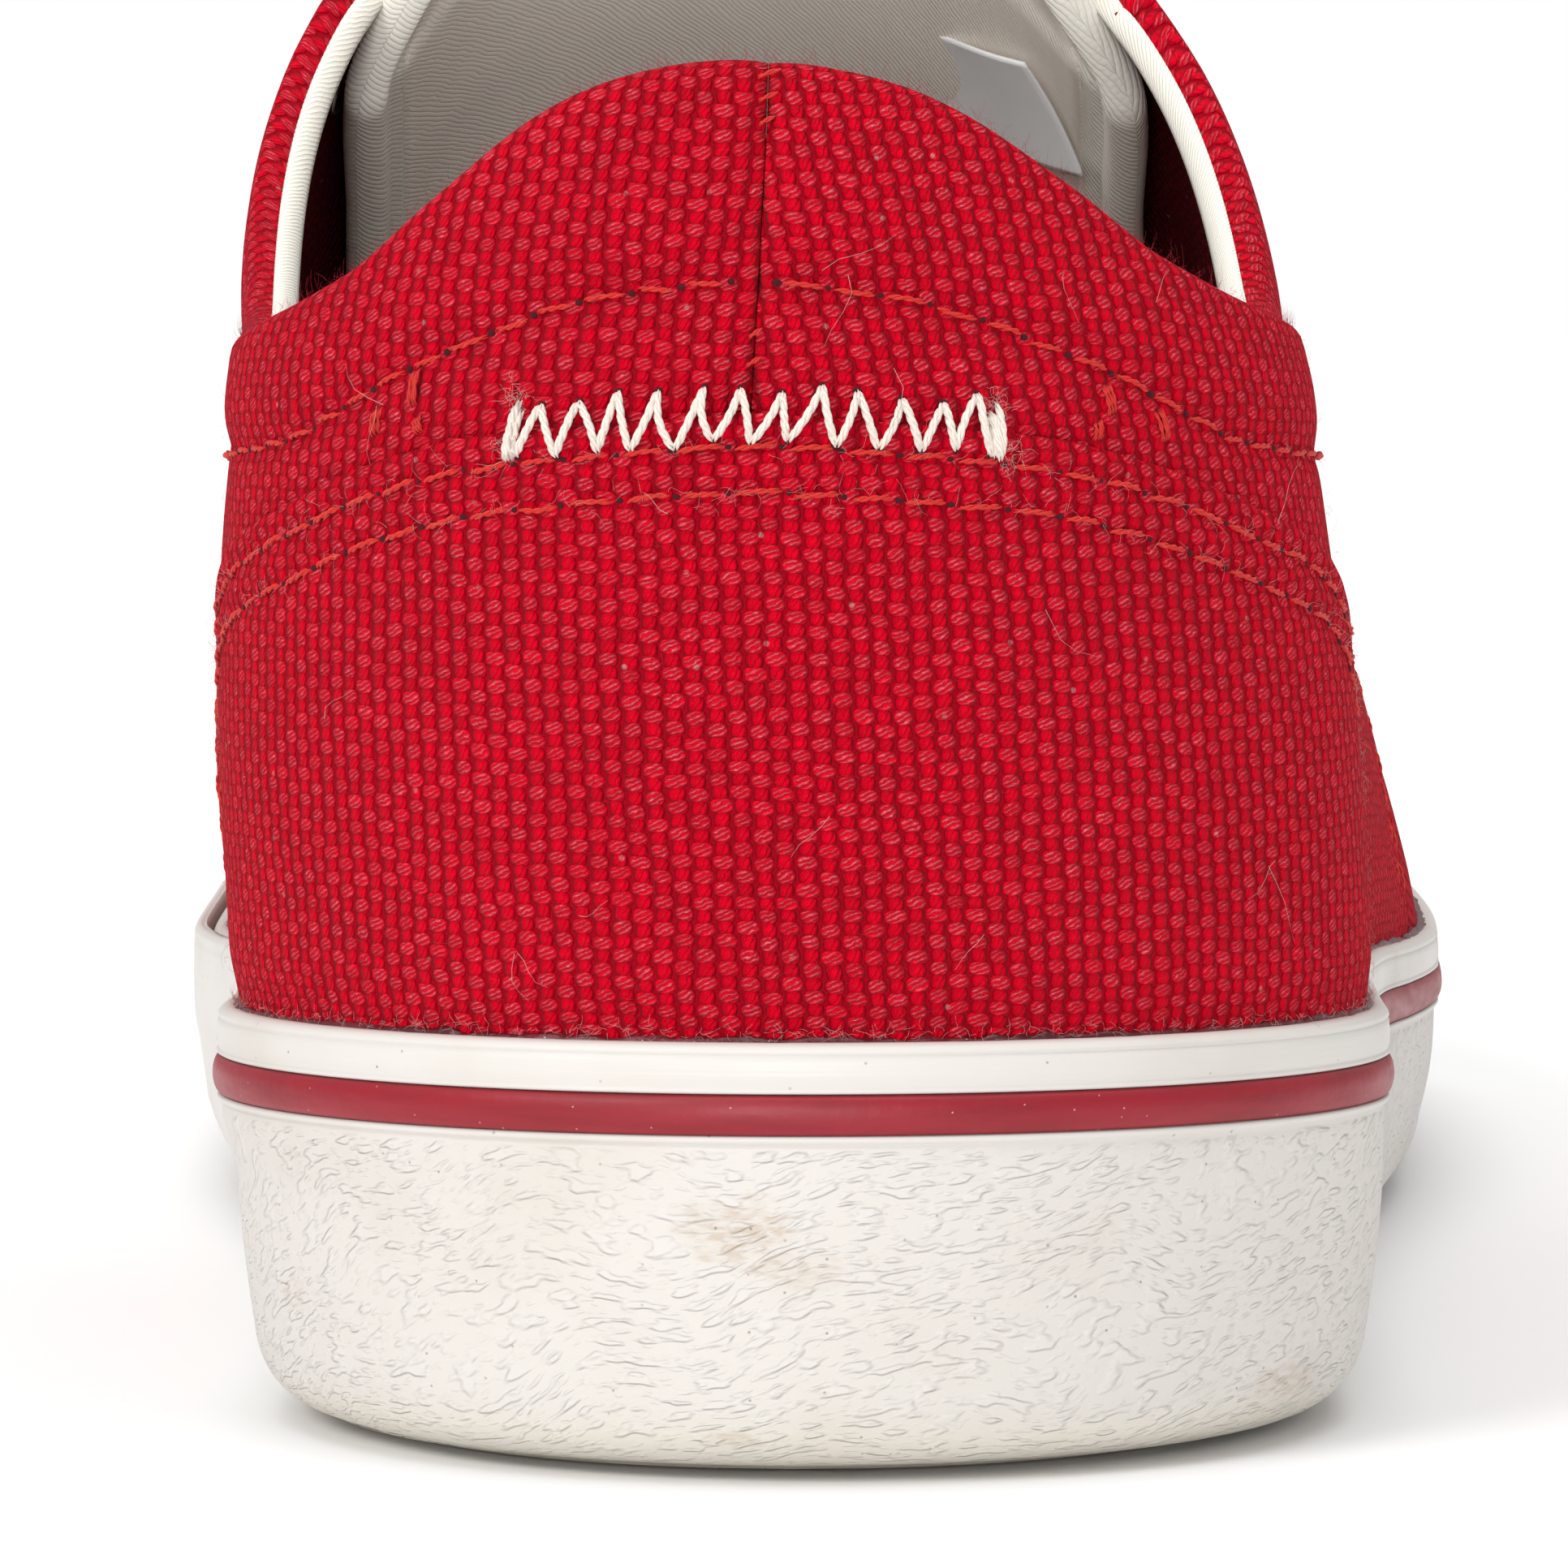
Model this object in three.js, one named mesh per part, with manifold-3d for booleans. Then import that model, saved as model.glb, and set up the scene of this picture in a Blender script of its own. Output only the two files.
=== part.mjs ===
// Canvas sneaker: a low-top lace-up with a rubber sidewall, right shoe.
// Millimetres, +Z up. The heel is towards -Y, the toe towards +Y, the lateral side towards +X.
// The sections are laid out from the heel's joint line at y = 0, and the whole is centred at the end.
import * as THREE from 'three';
import { mergeVertices } from 'three/addons/utils/BufferGeometryUtils.js';
import Module from 'manifold-3d';

const wasm = await Module();
wasm.setup();

// ---------------------------------------------------------------- driving dimensions
const LAST_LENGTH = 278;        // joint line, heel back to toe tip
const HEEL_CAP = 35;            // length of the rounded heel end
const TOE_CAP = 74;             // length of the rounded toe end
const HEEL_ROUNDNESS = 2.0;     // superellipse exponents of the two ends
const TOE_ROUNDNESS = 2.4;
const HEEL_PIVOT = 32;          // ridge stations that the end sections fan out from
const TOE_PIVOT = 236;
const PIVOT_SOFTNESS = 14;

const WALL = 2.2;               // canvas, backing and lining together
const GAP = 0.3;                // between pieces that meet
const SOLE_THICKNESS = 11;      // outsole at the heel
const SOLE_THINNING = 2.0;      // how much thinner it is at the ball
const INSOLE_THICKNESS = 3.2;
const TOE_SPRING = 10;          // rise of the sole at the toe tip
const SPRING_START = 205;
const ARCH_RELIEF = 1.5;        // the waist of the sole stands clear of the floor
const ARCH_START = 98;
const ARCH_END = 146;
const EDGE_CLEARANCE = 0.5;     // the sidewall's lower edge stands this far above the tread

const MEDIAL_SET = 0.8;         // the wall's step under its band, on the medial side of the heel
const MEDIAL_SET_START = 20;    // station where it starts to fade, and the length it fades over
const MEDIAL_SET_LENGTH = 110;
const MEDIAL_SET_HALF = 30;     // half width at which it is full
const SIDEWALL_FOOT = 7;        // width of the sidewall's ledge, which the upper's foot stands on
const LEDGE_HEIGHT = 8.5;
const FOOT_TUCK = 4;            // how far the upper's foot is drawn in under the joint line

const BUMPER_LATERAL = 226;     // stations where the toe bumper ends on each side
const BUMPER_MEDIAL = 104;
const BUMPER_STEPS = 32;

const TREAD_BORDER = 7;         // plain rim of the tread
const GROOVE_WIDTH = 3;
const GROOVE_DEPTH = 1.8;
const GROOVE_PITCH = 11;
const GROOVE_FIRST = 18;        // first groove's station, and how far the last stays from the toe
const GROOVE_TOE = 30;

const EYELET_ROWS = 5;
const EYELET_FIRST = 117;       // station of the top pair
const EYELET_LAST = 167;        // station of the bottom pair
const EYELET_INSET = 8.5;       // from the eyestay's edge
const EYELET_BORE = 1.8;
const EYELET_BARREL = 2.3;
const EYELET_FLANGE = 4.0;
const EYELET_HOLE = 2.65;

const LACE_WIDTH = 6.5;
const LACE_THICKNESS = 1.3;
const LACE_CLEARANCE = 0.6;     // above the upper
const LACE_END_GAP = 5.4;       // from an eyelet's centre to the lace's end

const TONGUE_THICKNESS = 4.6;
const TONGUE_THINNING = 2.2;    // thinner towards its side edges
const TONGUE_CLEARANCE = 1.0;
const TONGUE_RISE = 11;         // free end above the eyestays
const TONGUE_LEAN = 11;         // and how far it leans back
const TONGUE_NARROWING = 0.26;  // share of the width and of the droop lost at the free end
const TONGUE_FLATTENING = 0.4;

const RING_STEPS = 48;          // sections round the shoe
const SIDE_STEPS = 7;           // rows from the joint line to the edge

// Half widths of the joint line, where the canvas meets the rubber, before the end caps.
const PLAN = [
  { s: 0, medial: 35.1, lateral: 36.0 },
  { s: 36, medial: 35.1, lateral: 36.0 },
  { s: 75, medial: 35.3, lateral: 36.6 },
  { s: 105, medial: 37.0, lateral: 38.8 },
  { s: 135, medial: 42.6, lateral: 42.6 },
  { s: 165, medial: 46.6, lateral: 46.0 },
  { s: 190, medial: 47.8, lateral: 46.8 },
  { s: 215, medial: 48.2, lateral: 46.0 },
  { s: 240, medial: 47.5, lateral: 43.5 },
  { s: 278, medial: 46.0, lateral: 38.0 },
];

// Height of the joint line over the floor.
const JOINT = [
  { s: 0, height: 26.5 },
  { s: 60, height: 25.0 },
  { s: 110, height: 22.6 },
  { s: 150, height: 20.4 },
  { s: 185, height: 19.4 },
  { s: 225, height: 20.4 },
  { s: 250, height: 23.2 },
  { s: 278, height: 30.0 },
];

// Ridge of the last: its height, and how far it leans to the lateral side.
const RIDGE = [
  { s: 30, height: 122, lean: -4.5 },
  { s: 60, height: 121, lean: -5.5 },
  { s: 85, height: 117, lean: -7 },
  { s: 108, height: 108, lean: -7.5 },
  { s: 130, height: 95, lean: -7.5 },
  { s: 150, height: 83, lean: -7 },
  { s: 172, height: 71, lean: -6 },
  { s: 195, height: 61, lean: -5 },
  { s: 218, height: 53.5, lean: -4 },
  { s: 240, height: 48, lean: -4 },
];

// Fullness of each side: the handles of the cubic that runs from the joint line to the ridge.
const SIDE = [
  { s: 0, rise: 0.42, medialWaist: 1.03, medialShoulder: 0.93, lateralWaist: 1.03, lateralShoulder: 0.92 },
  { s: 40, rise: 0.42, medialWaist: 1.01, medialShoulder: 0.93, lateralWaist: 1.01, lateralShoulder: 0.88 },
  { s: 70, rise: 0.44, medialWaist: 1.05, medialShoulder: 1.03, lateralWaist: 1.01, lateralShoulder: 0.93 },
  { s: 100, rise: 0.46, medialWaist: 1.1, medialShoulder: 0.97, lateralWaist: 1.0, lateralShoulder: 0.99 },
  { s: 130, rise: 0.5, medialWaist: 1.06, medialShoulder: 0.84, lateralWaist: 0.98, lateralShoulder: 0.87 },
  { s: 155, rise: 0.52, medialWaist: 1.03, medialShoulder: 0.7, lateralWaist: 0.96, lateralShoulder: 0.7 },
  { s: 180, rise: 0.52, medialWaist: 1.02, medialShoulder: 0.6, lateralWaist: 0.97, lateralShoulder: 0.62 },
  { s: 220, rise: 0.52, medialWaist: 1.04, medialShoulder: 0.58, lateralWaist: 1.03, lateralShoulder: 0.58 },
  { s: 250, rise: 0.58, medialWaist: 1.04, medialShoulder: 0.6, lateralWaist: 1.04, lateralShoulder: 0.6 },
  { s: 278, rise: 0.66, medialWaist: 1.05, medialShoulder: 0.62, lateralWaist: 1.05, lateralShoulder: 0.62 },
];

// Height of the collar's edge, from the heel peak through the ankle dip to the eyestay's corner.
const COLLAR = [
  { s: 0, medial: 85.1, lateral: 85.1 },
  { s: 2, medial: 82.9, lateral: 83.3 },
  { s: 6.5, medial: 77.2, lateral: 78.2 },
  { s: 12, medial: 72.4, lateral: 73.4 },
  { s: 20, medial: 69.8, lateral: 70.6 },
  { s: 30, medial: 68.4, lateral: 69.2 },
  { s: 60, medial: 67.3, lateral: 67.5 },
  { s: 76, medial: 69.0, lateral: 69.0 },
  { s: 90, medial: 75.5, lateral: 75.0 },
  { s: 102, medial: 85.5, lateral: 85.0 },
  { s: 109, medial: 93.5, lateral: 93.0 },
];
const CORNER = 111;             // station where the collar turns into the throat

// Half width of the throat between the eyestays.
const THROAT = [
  { s: 111, half: 22 },
  { s: 118, half: 19.5 },
  { s: 135, half: 15.5 },
  { s: 152, half: 12 },
  { s: 164, half: 9 },
  { s: 169, half: 6.5 },
  { s: 172, half: 3 },
  { s: 173.5, half: 0 },
];
const THROAT_END = 173.5;

// How low the tongue's side edges reach.
const TONGUE_EDGE = [
  { s: 112, height: 84 },
  { s: 130, height: 76 },
  { s: 150, height: 65 },
  { s: 172, height: 55 },
  { s: 192, height: 48 },
];

// The upper's foot below the joint line: how far it is drawn in at each share of its depth.
const FOOT = [
  { share: 1, tuck: 1 },
  { share: 0.6, tuck: 0.5 },
  { share: 0.28, tuck: 0.12 },
];

// ---------------------------------------------------------------- curves through the tables

/** A monotone cubic through one column of a table. */
function curve(table, column) {
  const xs = table.map((row) => row.s);
  const ys = table.map((row) => row[column]);
  const last = xs.length - 1;
  const chord = xs.slice(0, last).map((x, i) => (ys[i + 1] - ys[i]) / (xs[i + 1] - x));
  const slope = xs.map((_, i) => {
    if (i === 0) return chord[0];
    if (i === last) return chord[last - 1];
    const product = chord[i - 1] * chord[i];
    return product > 0 ? (2 * product) / (chord[i - 1] + chord[i]) : 0;
  });
  return (s) => {
    const x = Math.min(Math.max(s, xs[0]), xs[last]);
    let i = 0;
    while (i < last - 1 && x > xs[i + 1]) i += 1;
    const span = xs[i + 1] - xs[i];
    const t = (x - xs[i]) / span;
    const t2 = t * t;
    const t3 = t2 * t;
    return (2 * t3 - 3 * t2 + 1) * ys[i] + (t3 - 2 * t2 + t) * span * slope[i]
      + (3 * t2 - 2 * t3) * ys[i + 1] + (t3 - t2) * span * slope[i + 1];
  };
}

const plan = { medial: curve(PLAN, 'medial'), lateral: curve(PLAN, 'lateral') };
const waist = { medial: curve(SIDE, 'medialWaist'), lateral: curve(SIDE, 'lateralWaist') };
const shoulder = { medial: curve(SIDE, 'medialShoulder'), lateral: curve(SIDE, 'lateralShoulder') };
const collar = { medial: curve(COLLAR, 'medial'), lateral: curve(COLLAR, 'lateral') };
const rise = curve(SIDE, 'rise');
const jointHeight = curve(JOINT, 'height');
const ridgeHeight = curve(RIDGE, 'height');
const ridgeLean = curve(RIDGE, 'lean');
const throatHalf = curve(THROAT, 'half');
const tongueEdge = curve(TONGUE_EDGE, 'height');

const sideOf = (sign) => (sign < 0 ? 'medial' : 'lateral');

function endCap(distance, length, roundness) {
  const u = Math.max(0, 1 - distance / length);
  return (1 - u ** roundness) ** (1 / roundness);
}

/** Underside of the tread: flat at heel and ball, raised at the arch and the toe. */
function floorHeight(s) {
  const spring = Math.max(0, (s - SPRING_START) / (LAST_LENGTH - SPRING_START));
  const arch = (s - ARCH_START) / (ARCH_END - ARCH_START);
  const relief = arch > 0 && arch < 1 ? Math.sin(Math.PI * arch) ** 2 : 0;
  return TOE_SPRING * spring ** 2 + ARCH_RELIEF * relief;
}

/** The sidewall's foot follows the toe spring, but not the arch. */
function edgeHeight(s) {
  const spring = Math.max(0, (s - SPRING_START) / (LAST_LENGTH - SPRING_START));
  return TOE_SPRING * spring ** 2 + EDGE_CLEARANCE;
}

function soleTop(s) {
  const t = Math.min(1, s / 190);
  const spring = Math.max(0, (s - SPRING_START) / (LAST_LENGTH - SPRING_START));
  return SOLE_THICKNESS - SOLE_THINNING * t * t * (3 - 2 * t) + TOE_SPRING * spring ** 2;
}

// ---------------------------------------------------------------- surface of the last

/** Point of the joint line: angle 0 at the heel back, positive to the lateral side, PI at the toe. */
function jointPoint(angle, outward = 0) {
  const at = (a) => {
    const s = (LAST_LENGTH / 2) * (1 - Math.cos(a));
    const sign = Math.sin(a) < 0 ? -1 : 1;
    const half = plan[sideOf(sign)](s) * endCap(s, HEEL_CAP, HEEL_ROUNDNESS)
      * endCap(LAST_LENGTH - s, TOE_CAP, TOE_ROUNDNESS);
    return { x: sign * half, s };
  };
  const here = at(angle);
  if (outward === 0) return here;
  const step = 0.01;
  const before = at(angle - step);
  const after = at(angle + step);
  const dx = after.x - before.x;
  const ds = after.s - before.s;
  const length = Math.hypot(dx, ds);
  return { x: here.x + (outward * ds) / length, s: here.s - (outward * dx) / length };
}

/** Point of the upper's foot, at a share of the way down from the joint line to the ledge. */
function footPoint(angle, share, outward) {
  const top = jointHeight(jointPoint(angle).s);
  const p = jointPoint(angle, outward);
  const ledge = edgeHeight(p.s) + LEDGE_HEIGHT + GAP;
  return new THREE.Vector3(p.x, p.s, top - (top - ledge) * share);
}

/** Ridge station that a section fans out from. */
function ridgeStation(s) {
  const soft = PIVOT_SOFTNESS ** 2;
  const low = (s + HEEL_PIVOT + Math.sqrt((s - HEEL_PIVOT) ** 2 + soft)) / 2;
  return (low + TOE_PIVOT - Math.sqrt((low - TOE_PIVOT) ** 2 + soft)) / 2;
}

/** Outer face of the upper: v is 0 on the joint line and 1 on the ridge. */
function surface(angle, v) {
  const { x, s } = jointPoint(angle);
  const side = sideOf(Math.sin(angle));
  const station = ridgeStation(s);
  const u = 1 - v;
  const out = u ** 3 + 3 * v * u * u * waist[side](s) + 3 * v * v * u * shoulder[side](s);
  const up = 3 * v * u * u * rise(s) + 3 * v * v * u + v ** 3;
  const foot = jointHeight(s);
  return new THREE.Vector3(
    x * out + ridgeLean(station) * up,
    station + (s - station) * out,
    foot + (ridgeHeight(station) - foot) * up,
  );
}

/** Outward normal of the surface. */
function surfaceNormal(angle, v) {
  const step = 0.004;
  const low = Math.max(0, v - step);
  const high = Math.min(1, v + step);
  if (high === 1) return ridgeNormal(angle);
  const along = surface(angle + step, v).sub(surface(angle - step, v));
  const up = surface(angle, high).sub(surface(angle, low));
  return along.cross(up).normalize();
}

/** On the ridge both sides share one normal, square to the ridge line. */
function ridgeNormal(angle) {
  const station = ridgeStation(jointPoint(angle).s);
  const slope = (ridgeHeight(station + 1) - ridgeHeight(station - 1)) / 2;
  return new THREE.Vector3(0, -slope, 1).normalize();
}

function inset(angle, v, depth) {
  return surface(angle, v).addScaledVector(surfaceNormal(angle, v), -depth);
}

/** Smallest v for which test(point) holds, by bisection. */
function findV(angle, test) {
  let low = 0;
  let high = 1;
  for (let i = 0; i < 40; i += 1) {
    const middle = (low + high) / 2;
    if (test(surface(angle, middle))) high = middle;
    else low = middle;
  }
  return high;
}

const angleAt = (s, sign) => sign * Math.acos(1 - (2 * s) / LAST_LENGTH);

/** v at a distance from the ridge line, measured across the shoe. */
function vAcross(angle, distance) {
  const centre = surface(angle, 1).x;
  return findV(angle, (p) => Math.abs(p.x - centre) <= distance);
}

/** v of the upper's edge: the collar behind the corner, the throat in front, closed over the vamp. */
function edgeV(angle) {
  const { s } = jointPoint(angle);
  if (s >= THROAT_END) return 1;
  if (s >= CORNER) return vAcross(angle, throatHalf(s));
  const height = collar[sideOf(Math.sin(angle))](s);
  return findV(angle, (p) => p.z >= height);
}

// ---------------------------------------------------------------- meshes

function geometryFrom(positions, triangles) {
  const geometry = new THREE.BufferGeometry();
  geometry.setAttribute('position', new THREE.Float32BufferAttribute(positions, 3));
  geometry.setIndex(triangles);
  const merged = mergeVertices(geometry, 1e-3);
  const index = merged.getIndex().array;
  const kept = [];
  for (let i = 0; i < index.length; i += 3) {
    const [a, b, c] = [index[i], index[i + 1], index[i + 2]];
    if (a !== b && b !== c && a !== c) kept.push(a, b, c);
  }
  if (signedVolume(merged, kept) < 0) kept.reverse();
  merged.setIndex(kept);
  return merged;
}

function signedVolume(geometry, index) {
  const p = geometry.getAttribute('position');
  const [a, b, c] = [new THREE.Vector3(), new THREE.Vector3(), new THREE.Vector3()];
  let total = 0;
  for (let i = 0; i < index.length; i += 3) {
    a.fromBufferAttribute(p, index[i]);
    b.fromBufferAttribute(p, index[i + 1]);
    c.fromBufferAttribute(p, index[i + 2]);
    total += a.dot(b.cross(c)) / 6;
  }
  return total;
}

/**
 * A solid between two grids of points, face[i][j] and back[i][j]. With closed, the first and last
 * sections join. openEdge(i) says whether the edge at the last j has a rim there.
 */
function shell(face, back, closed, openEdge = () => true) {
  const columns = face.length;
  const rows = face[0].length;
  const positions = [];
  for (const grid of [face, back]) {
    for (const section of grid) for (const p of section) positions.push(p.x, p.y, p.z);
  }
  const faceAt = (i, j) => (i % columns) * rows + j;
  const backAt = (i, j) => (columns + (i % columns)) * rows + j;
  const triangles = [];
  const quad = (a, b, c, d) => triangles.push(a, b, c, a, c, d);
  const spans = closed ? columns : columns - 1;
  for (let i = 0; i < spans; i += 1) {
    for (let j = 0; j < rows - 1; j += 1) {
      quad(faceAt(i, j), faceAt(i + 1, j), faceAt(i + 1, j + 1), faceAt(i, j + 1));
      quad(backAt(i, j), backAt(i, j + 1), backAt(i + 1, j + 1), backAt(i + 1, j));
    }
    quad(backAt(i, 0), backAt(i + 1, 0), faceAt(i + 1, 0), faceAt(i, 0));
    if (openEdge(i) || openEdge((i + 1) % columns)) {
      quad(faceAt(i, rows - 1), faceAt(i + 1, rows - 1), backAt(i + 1, rows - 1), backAt(i, rows - 1));
    }
  }
  if (!closed) {
    const end = columns - 1;
    for (let j = 0; j < rows - 1; j += 1) {
      quad(backAt(0, j), faceAt(0, j), faceAt(0, j + 1), backAt(0, j + 1));
      quad(faceAt(end, j), backAt(end, j), backAt(end, j + 1), faceAt(end, j + 1));
    }
  }
  return geometryFrom(positions, triangles);
}

/** A closed ring whose section is a loop of points, sections[i][j]. */
function ringSolid(sections) {
  const count = sections.length;
  const rows = sections[0].length;
  const positions = sections.flatMap((section) => section.flatMap((p) => [p.x, p.y, p.z]));
  const at = (i, j) => (i % count) * rows + (j % rows);
  const triangles = [];
  for (let i = 0; i < count; i += 1) {
    for (let j = 0; j < rows; j += 1) {
      triangles.push(at(i, j), at(i + 1, j), at(i + 1, j + 1));
      triangles.push(at(i, j), at(i + 1, j + 1), at(i, j + 1));
    }
  }
  return geometryFrom(positions, triangles);
}

/** A plate inside the joint line, between two heights that depend on the station alone. */
function plate(angles, outward, low, high) {
  const count = angles.length;
  const rim = angles.map((angle) => jointPoint(angle, outward));
  const positions = [];
  for (const height of [low, high]) for (const p of rim) positions.push(p.x, p.s, height(p.s));
  const triangles = [];
  for (let i = 0; i < count; i += 1) {
    const next = (i + 1) % count;
    triangles.push(i, next, count + next, i, count + next, count + i);
  }
  // Strips across, between the stations of the two sides.
  for (let i = 0; i < count / 2; i += 1) {
    const [a, b] = [i, i + 1];
    const [c, d] = [(count - i - 1) % count, (count - i) % count];
    triangles.push(a, c, b, a, d, c);
    triangles.push(count + a, count + b, count + c, count + a, count + c, count + d);
  }
  return geometryFrom(positions, triangles);
}

function toManifold(geometry) {
  const bare = geometry.clone();
  for (const name of ['normal', 'uv']) bare.deleteAttribute(name);
  const merged = mergeVertices(bare, 1e-3);
  return new wasm.Manifold(new wasm.Mesh({
    numProp: 3,
    vertProperties: new Float32Array(merged.getAttribute('position').array),
    triVerts: new Uint32Array(merged.getIndex().array),
  }));
}

function fromManifold(solid) {
  const mesh = solid.getMesh();
  const geometry = new THREE.BufferGeometry();
  geometry.setAttribute('position', new THREE.BufferAttribute(new Float32Array(mesh.vertProperties), 3));
  geometry.setIndex(new THREE.BufferAttribute(new Uint32Array(mesh.triVerts), 1));
  return geometry;
}

// ---------------------------------------------------------------- angles of the sections

/** Symmetric ring of angles: even steps, with extra sections at named stations. */
function ringAngles(steps, extraStations) {
  const half = Array.from({ length: steps / 2 - 1 }, (_, i) => (Math.PI * (i + 1)) / (steps / 2));
  const extra = extraStations.map((s) => angleAt(s, 1));
  const nearest = (angle) => Math.min(...extra.map((a) => Math.abs(a - angle)), 9);
  const kept = half.filter((angle) => nearest(angle) > 0.02);
  const side = [...kept, ...extra].sort((a, b) => a - b);
  return [0, ...side, Math.PI, ...side.map((a) => -a).reverse()];
}

const UPPER_ANGLES = ringAngles(RING_STEPS, [
  104, 107.5, CORNER, 160, 166, 170, 172.2, THROAT_END,
]);
const SOLE_ANGLES = ringAngles(RING_STEPS, []);

// ---------------------------------------------------------------- pieces

/** Upper: one hollow wall, open at collar and throat and open underneath. */
function makeUpper() {
  const face = [];
  const back = [];
  for (const angle of UPPER_ANGLES) {
    const outer = FOOT.map(({ tuck, share }) => footPoint(angle, share, -FOOT_TUCK * tuck));
    const inner = FOOT.map(({ tuck, share }) => footPoint(angle, share, -FOOT_TUCK * tuck - WALL));
    const edge = edgeV(angle);
    for (let j = 0; j <= SIDE_STEPS; j += 1) {
      const v = (edge * j) / SIDE_STEPS;
      outer.push(surface(angle, v));
      inner.push(inset(angle, v, WALL));
    }
    face.push(outer);
    back.push(inner);
  }
  const open = UPPER_ANGLES.map((angle) => jointPoint(angle).s < THROAT_END - 1e-6);
  let solid = toManifold(shell(face, back, true, (i) => open[i]));
  for (const eyelet of EYELETS) {
    const drill = new THREE.CylinderGeometry(EYELET_HOLE, EYELET_HOLE, 12, 10);
    drill.applyQuaternion(eyelet.turn).translate(eyelet.place.x, eyelet.place.y, eyelet.place.z);
    solid = solid.subtract(toManifold(drill));
  }
  return fromManifold(solid);
}

/** Eyelet seats: a place on the eyestay and the turn from +Y to its normal. */
function eyeletSeats() {
  const seats = [];
  for (const sign of [-1, 1]) {
    for (let row = 0; row < EYELET_ROWS; row += 1) {
      const s = EYELET_FIRST + ((EYELET_LAST - EYELET_FIRST) * row) / (EYELET_ROWS - 1);
      const angle = angleAt(s, sign);
      const v = vAcross(angle, throatHalf(s) + EYELET_INSET);
      const normal = surfaceNormal(angle, v);
      seats.push({
        name: `eyelet_${sideOf(sign)}_${row + 1}`,
        place: surface(angle, v),
        turn: new THREE.Quaternion().setFromUnitVectors(new THREE.Vector3(0, 1, 0), normal),
        sign,
        row,
      });
    }
  }
  return seats;
}

const EYELETS = eyeletSeats();

function makeEyelet() {
  const profile = [
    [EYELET_BORE, -WALL], [EYELET_BARREL, -WALL], [EYELET_BARREL, GAP],
    [EYELET_FLANGE, GAP + 0.1], [EYELET_FLANGE - 0.5, 1.1], [EYELET_BORE, 0.8],
    [EYELET_BORE, -WALL],
  ].map(([radius, height]) => new THREE.Vector2(radius, height));
  return new THREE.LatheGeometry(profile, 10);
}

/** How far the wall is set in under its band, on the medial side of the heel. */
function medialSet(angle) {
  const { x, s } = jointPoint(angle);
  const ahead = Math.min(1, Math.max(0, (s - MEDIAL_SET_START) / MEDIAL_SET_LENGTH));
  const across = Math.min(1, Math.max(0, -x / MEDIAL_SET_HALF));
  return MEDIAL_SET * (1 - ahead) * across;
}

/** Sidewall: the white rubber wall with a groove for the stripe, and a ledge under the upper. */
function makeSidewall() {
  // Columns: how far out from the joint line, the height it is measured from and the offset, and
  // whether the medial set moves it.
  const section = [
    { out: GAP, from: 'top', by: 0 },
    { out: 1.1, from: 'top', by: 0 },
    { out: 1.5, from: 'top', by: -0.7 },
    { out: 1.5, from: 'top', by: -3.0 },
    { out: 0.7, from: 'top', by: -3.2 },
    { out: 0.7, from: 'top', by: -6.0 },
    { out: 1.3, from: 'top', by: -6.2 },
    { out: 0.7, from: 'top', by: -7.1, set: true },
    { out: 0.1, from: 'edge', by: 6, set: true },
    { out: -0.9, from: 'edge', by: 3.2, set: true },
    { out: -2.6, from: 'edge', by: 0.9, set: true },
    { out: -4.6, from: 'edge', by: 0 },
    { out: -SIDEWALL_FOOT, from: 'edge', by: 0 },
    { out: -SIDEWALL_FOOT, from: 'edge', by: LEDGE_HEIGHT },
    { out: GAP - FOOT_TUCK, from: 'edge', by: LEDGE_HEIGHT },
  ];
  const inside = FOOT.filter(({ share }) => share < 1);
  return ringSolid(SOLE_ANGLES.map((angle) => {
    const top = jointHeight(jointPoint(angle).s);
    const outer = section.map(({ out, from, by, set }) => {
      const p = jointPoint(angle, set ? out - medialSet(angle) : out);
      const base = from === 'top' ? top : edgeHeight(p.s);
      return new THREE.Vector3(p.x, p.s, base + by);
    });
    const inner = inside.map(({ tuck, share }) => footPoint(angle, share, GAP - FOOT_TUCK * tuck));
    return [...outer, ...inner];
  }));
}

/** Stripe: a round-backed red bead in the sidewall's groove. */
function makeStripe() {
  const section = [[1.0, -3.5], [1.5, -3.6], [1.85, -4.6], [1.5, -5.6], [1.0, -5.7]];
  return ringSolid(SOLE_ANGLES.map((angle) => {
    const top = jointHeight(jointPoint(angle).s);
    return section.map(([out, drop]) => {
      const p = jointPoint(angle, out);
      return new THREE.Vector3(p.x, p.s, top + drop);
    });
  }));
}

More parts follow.
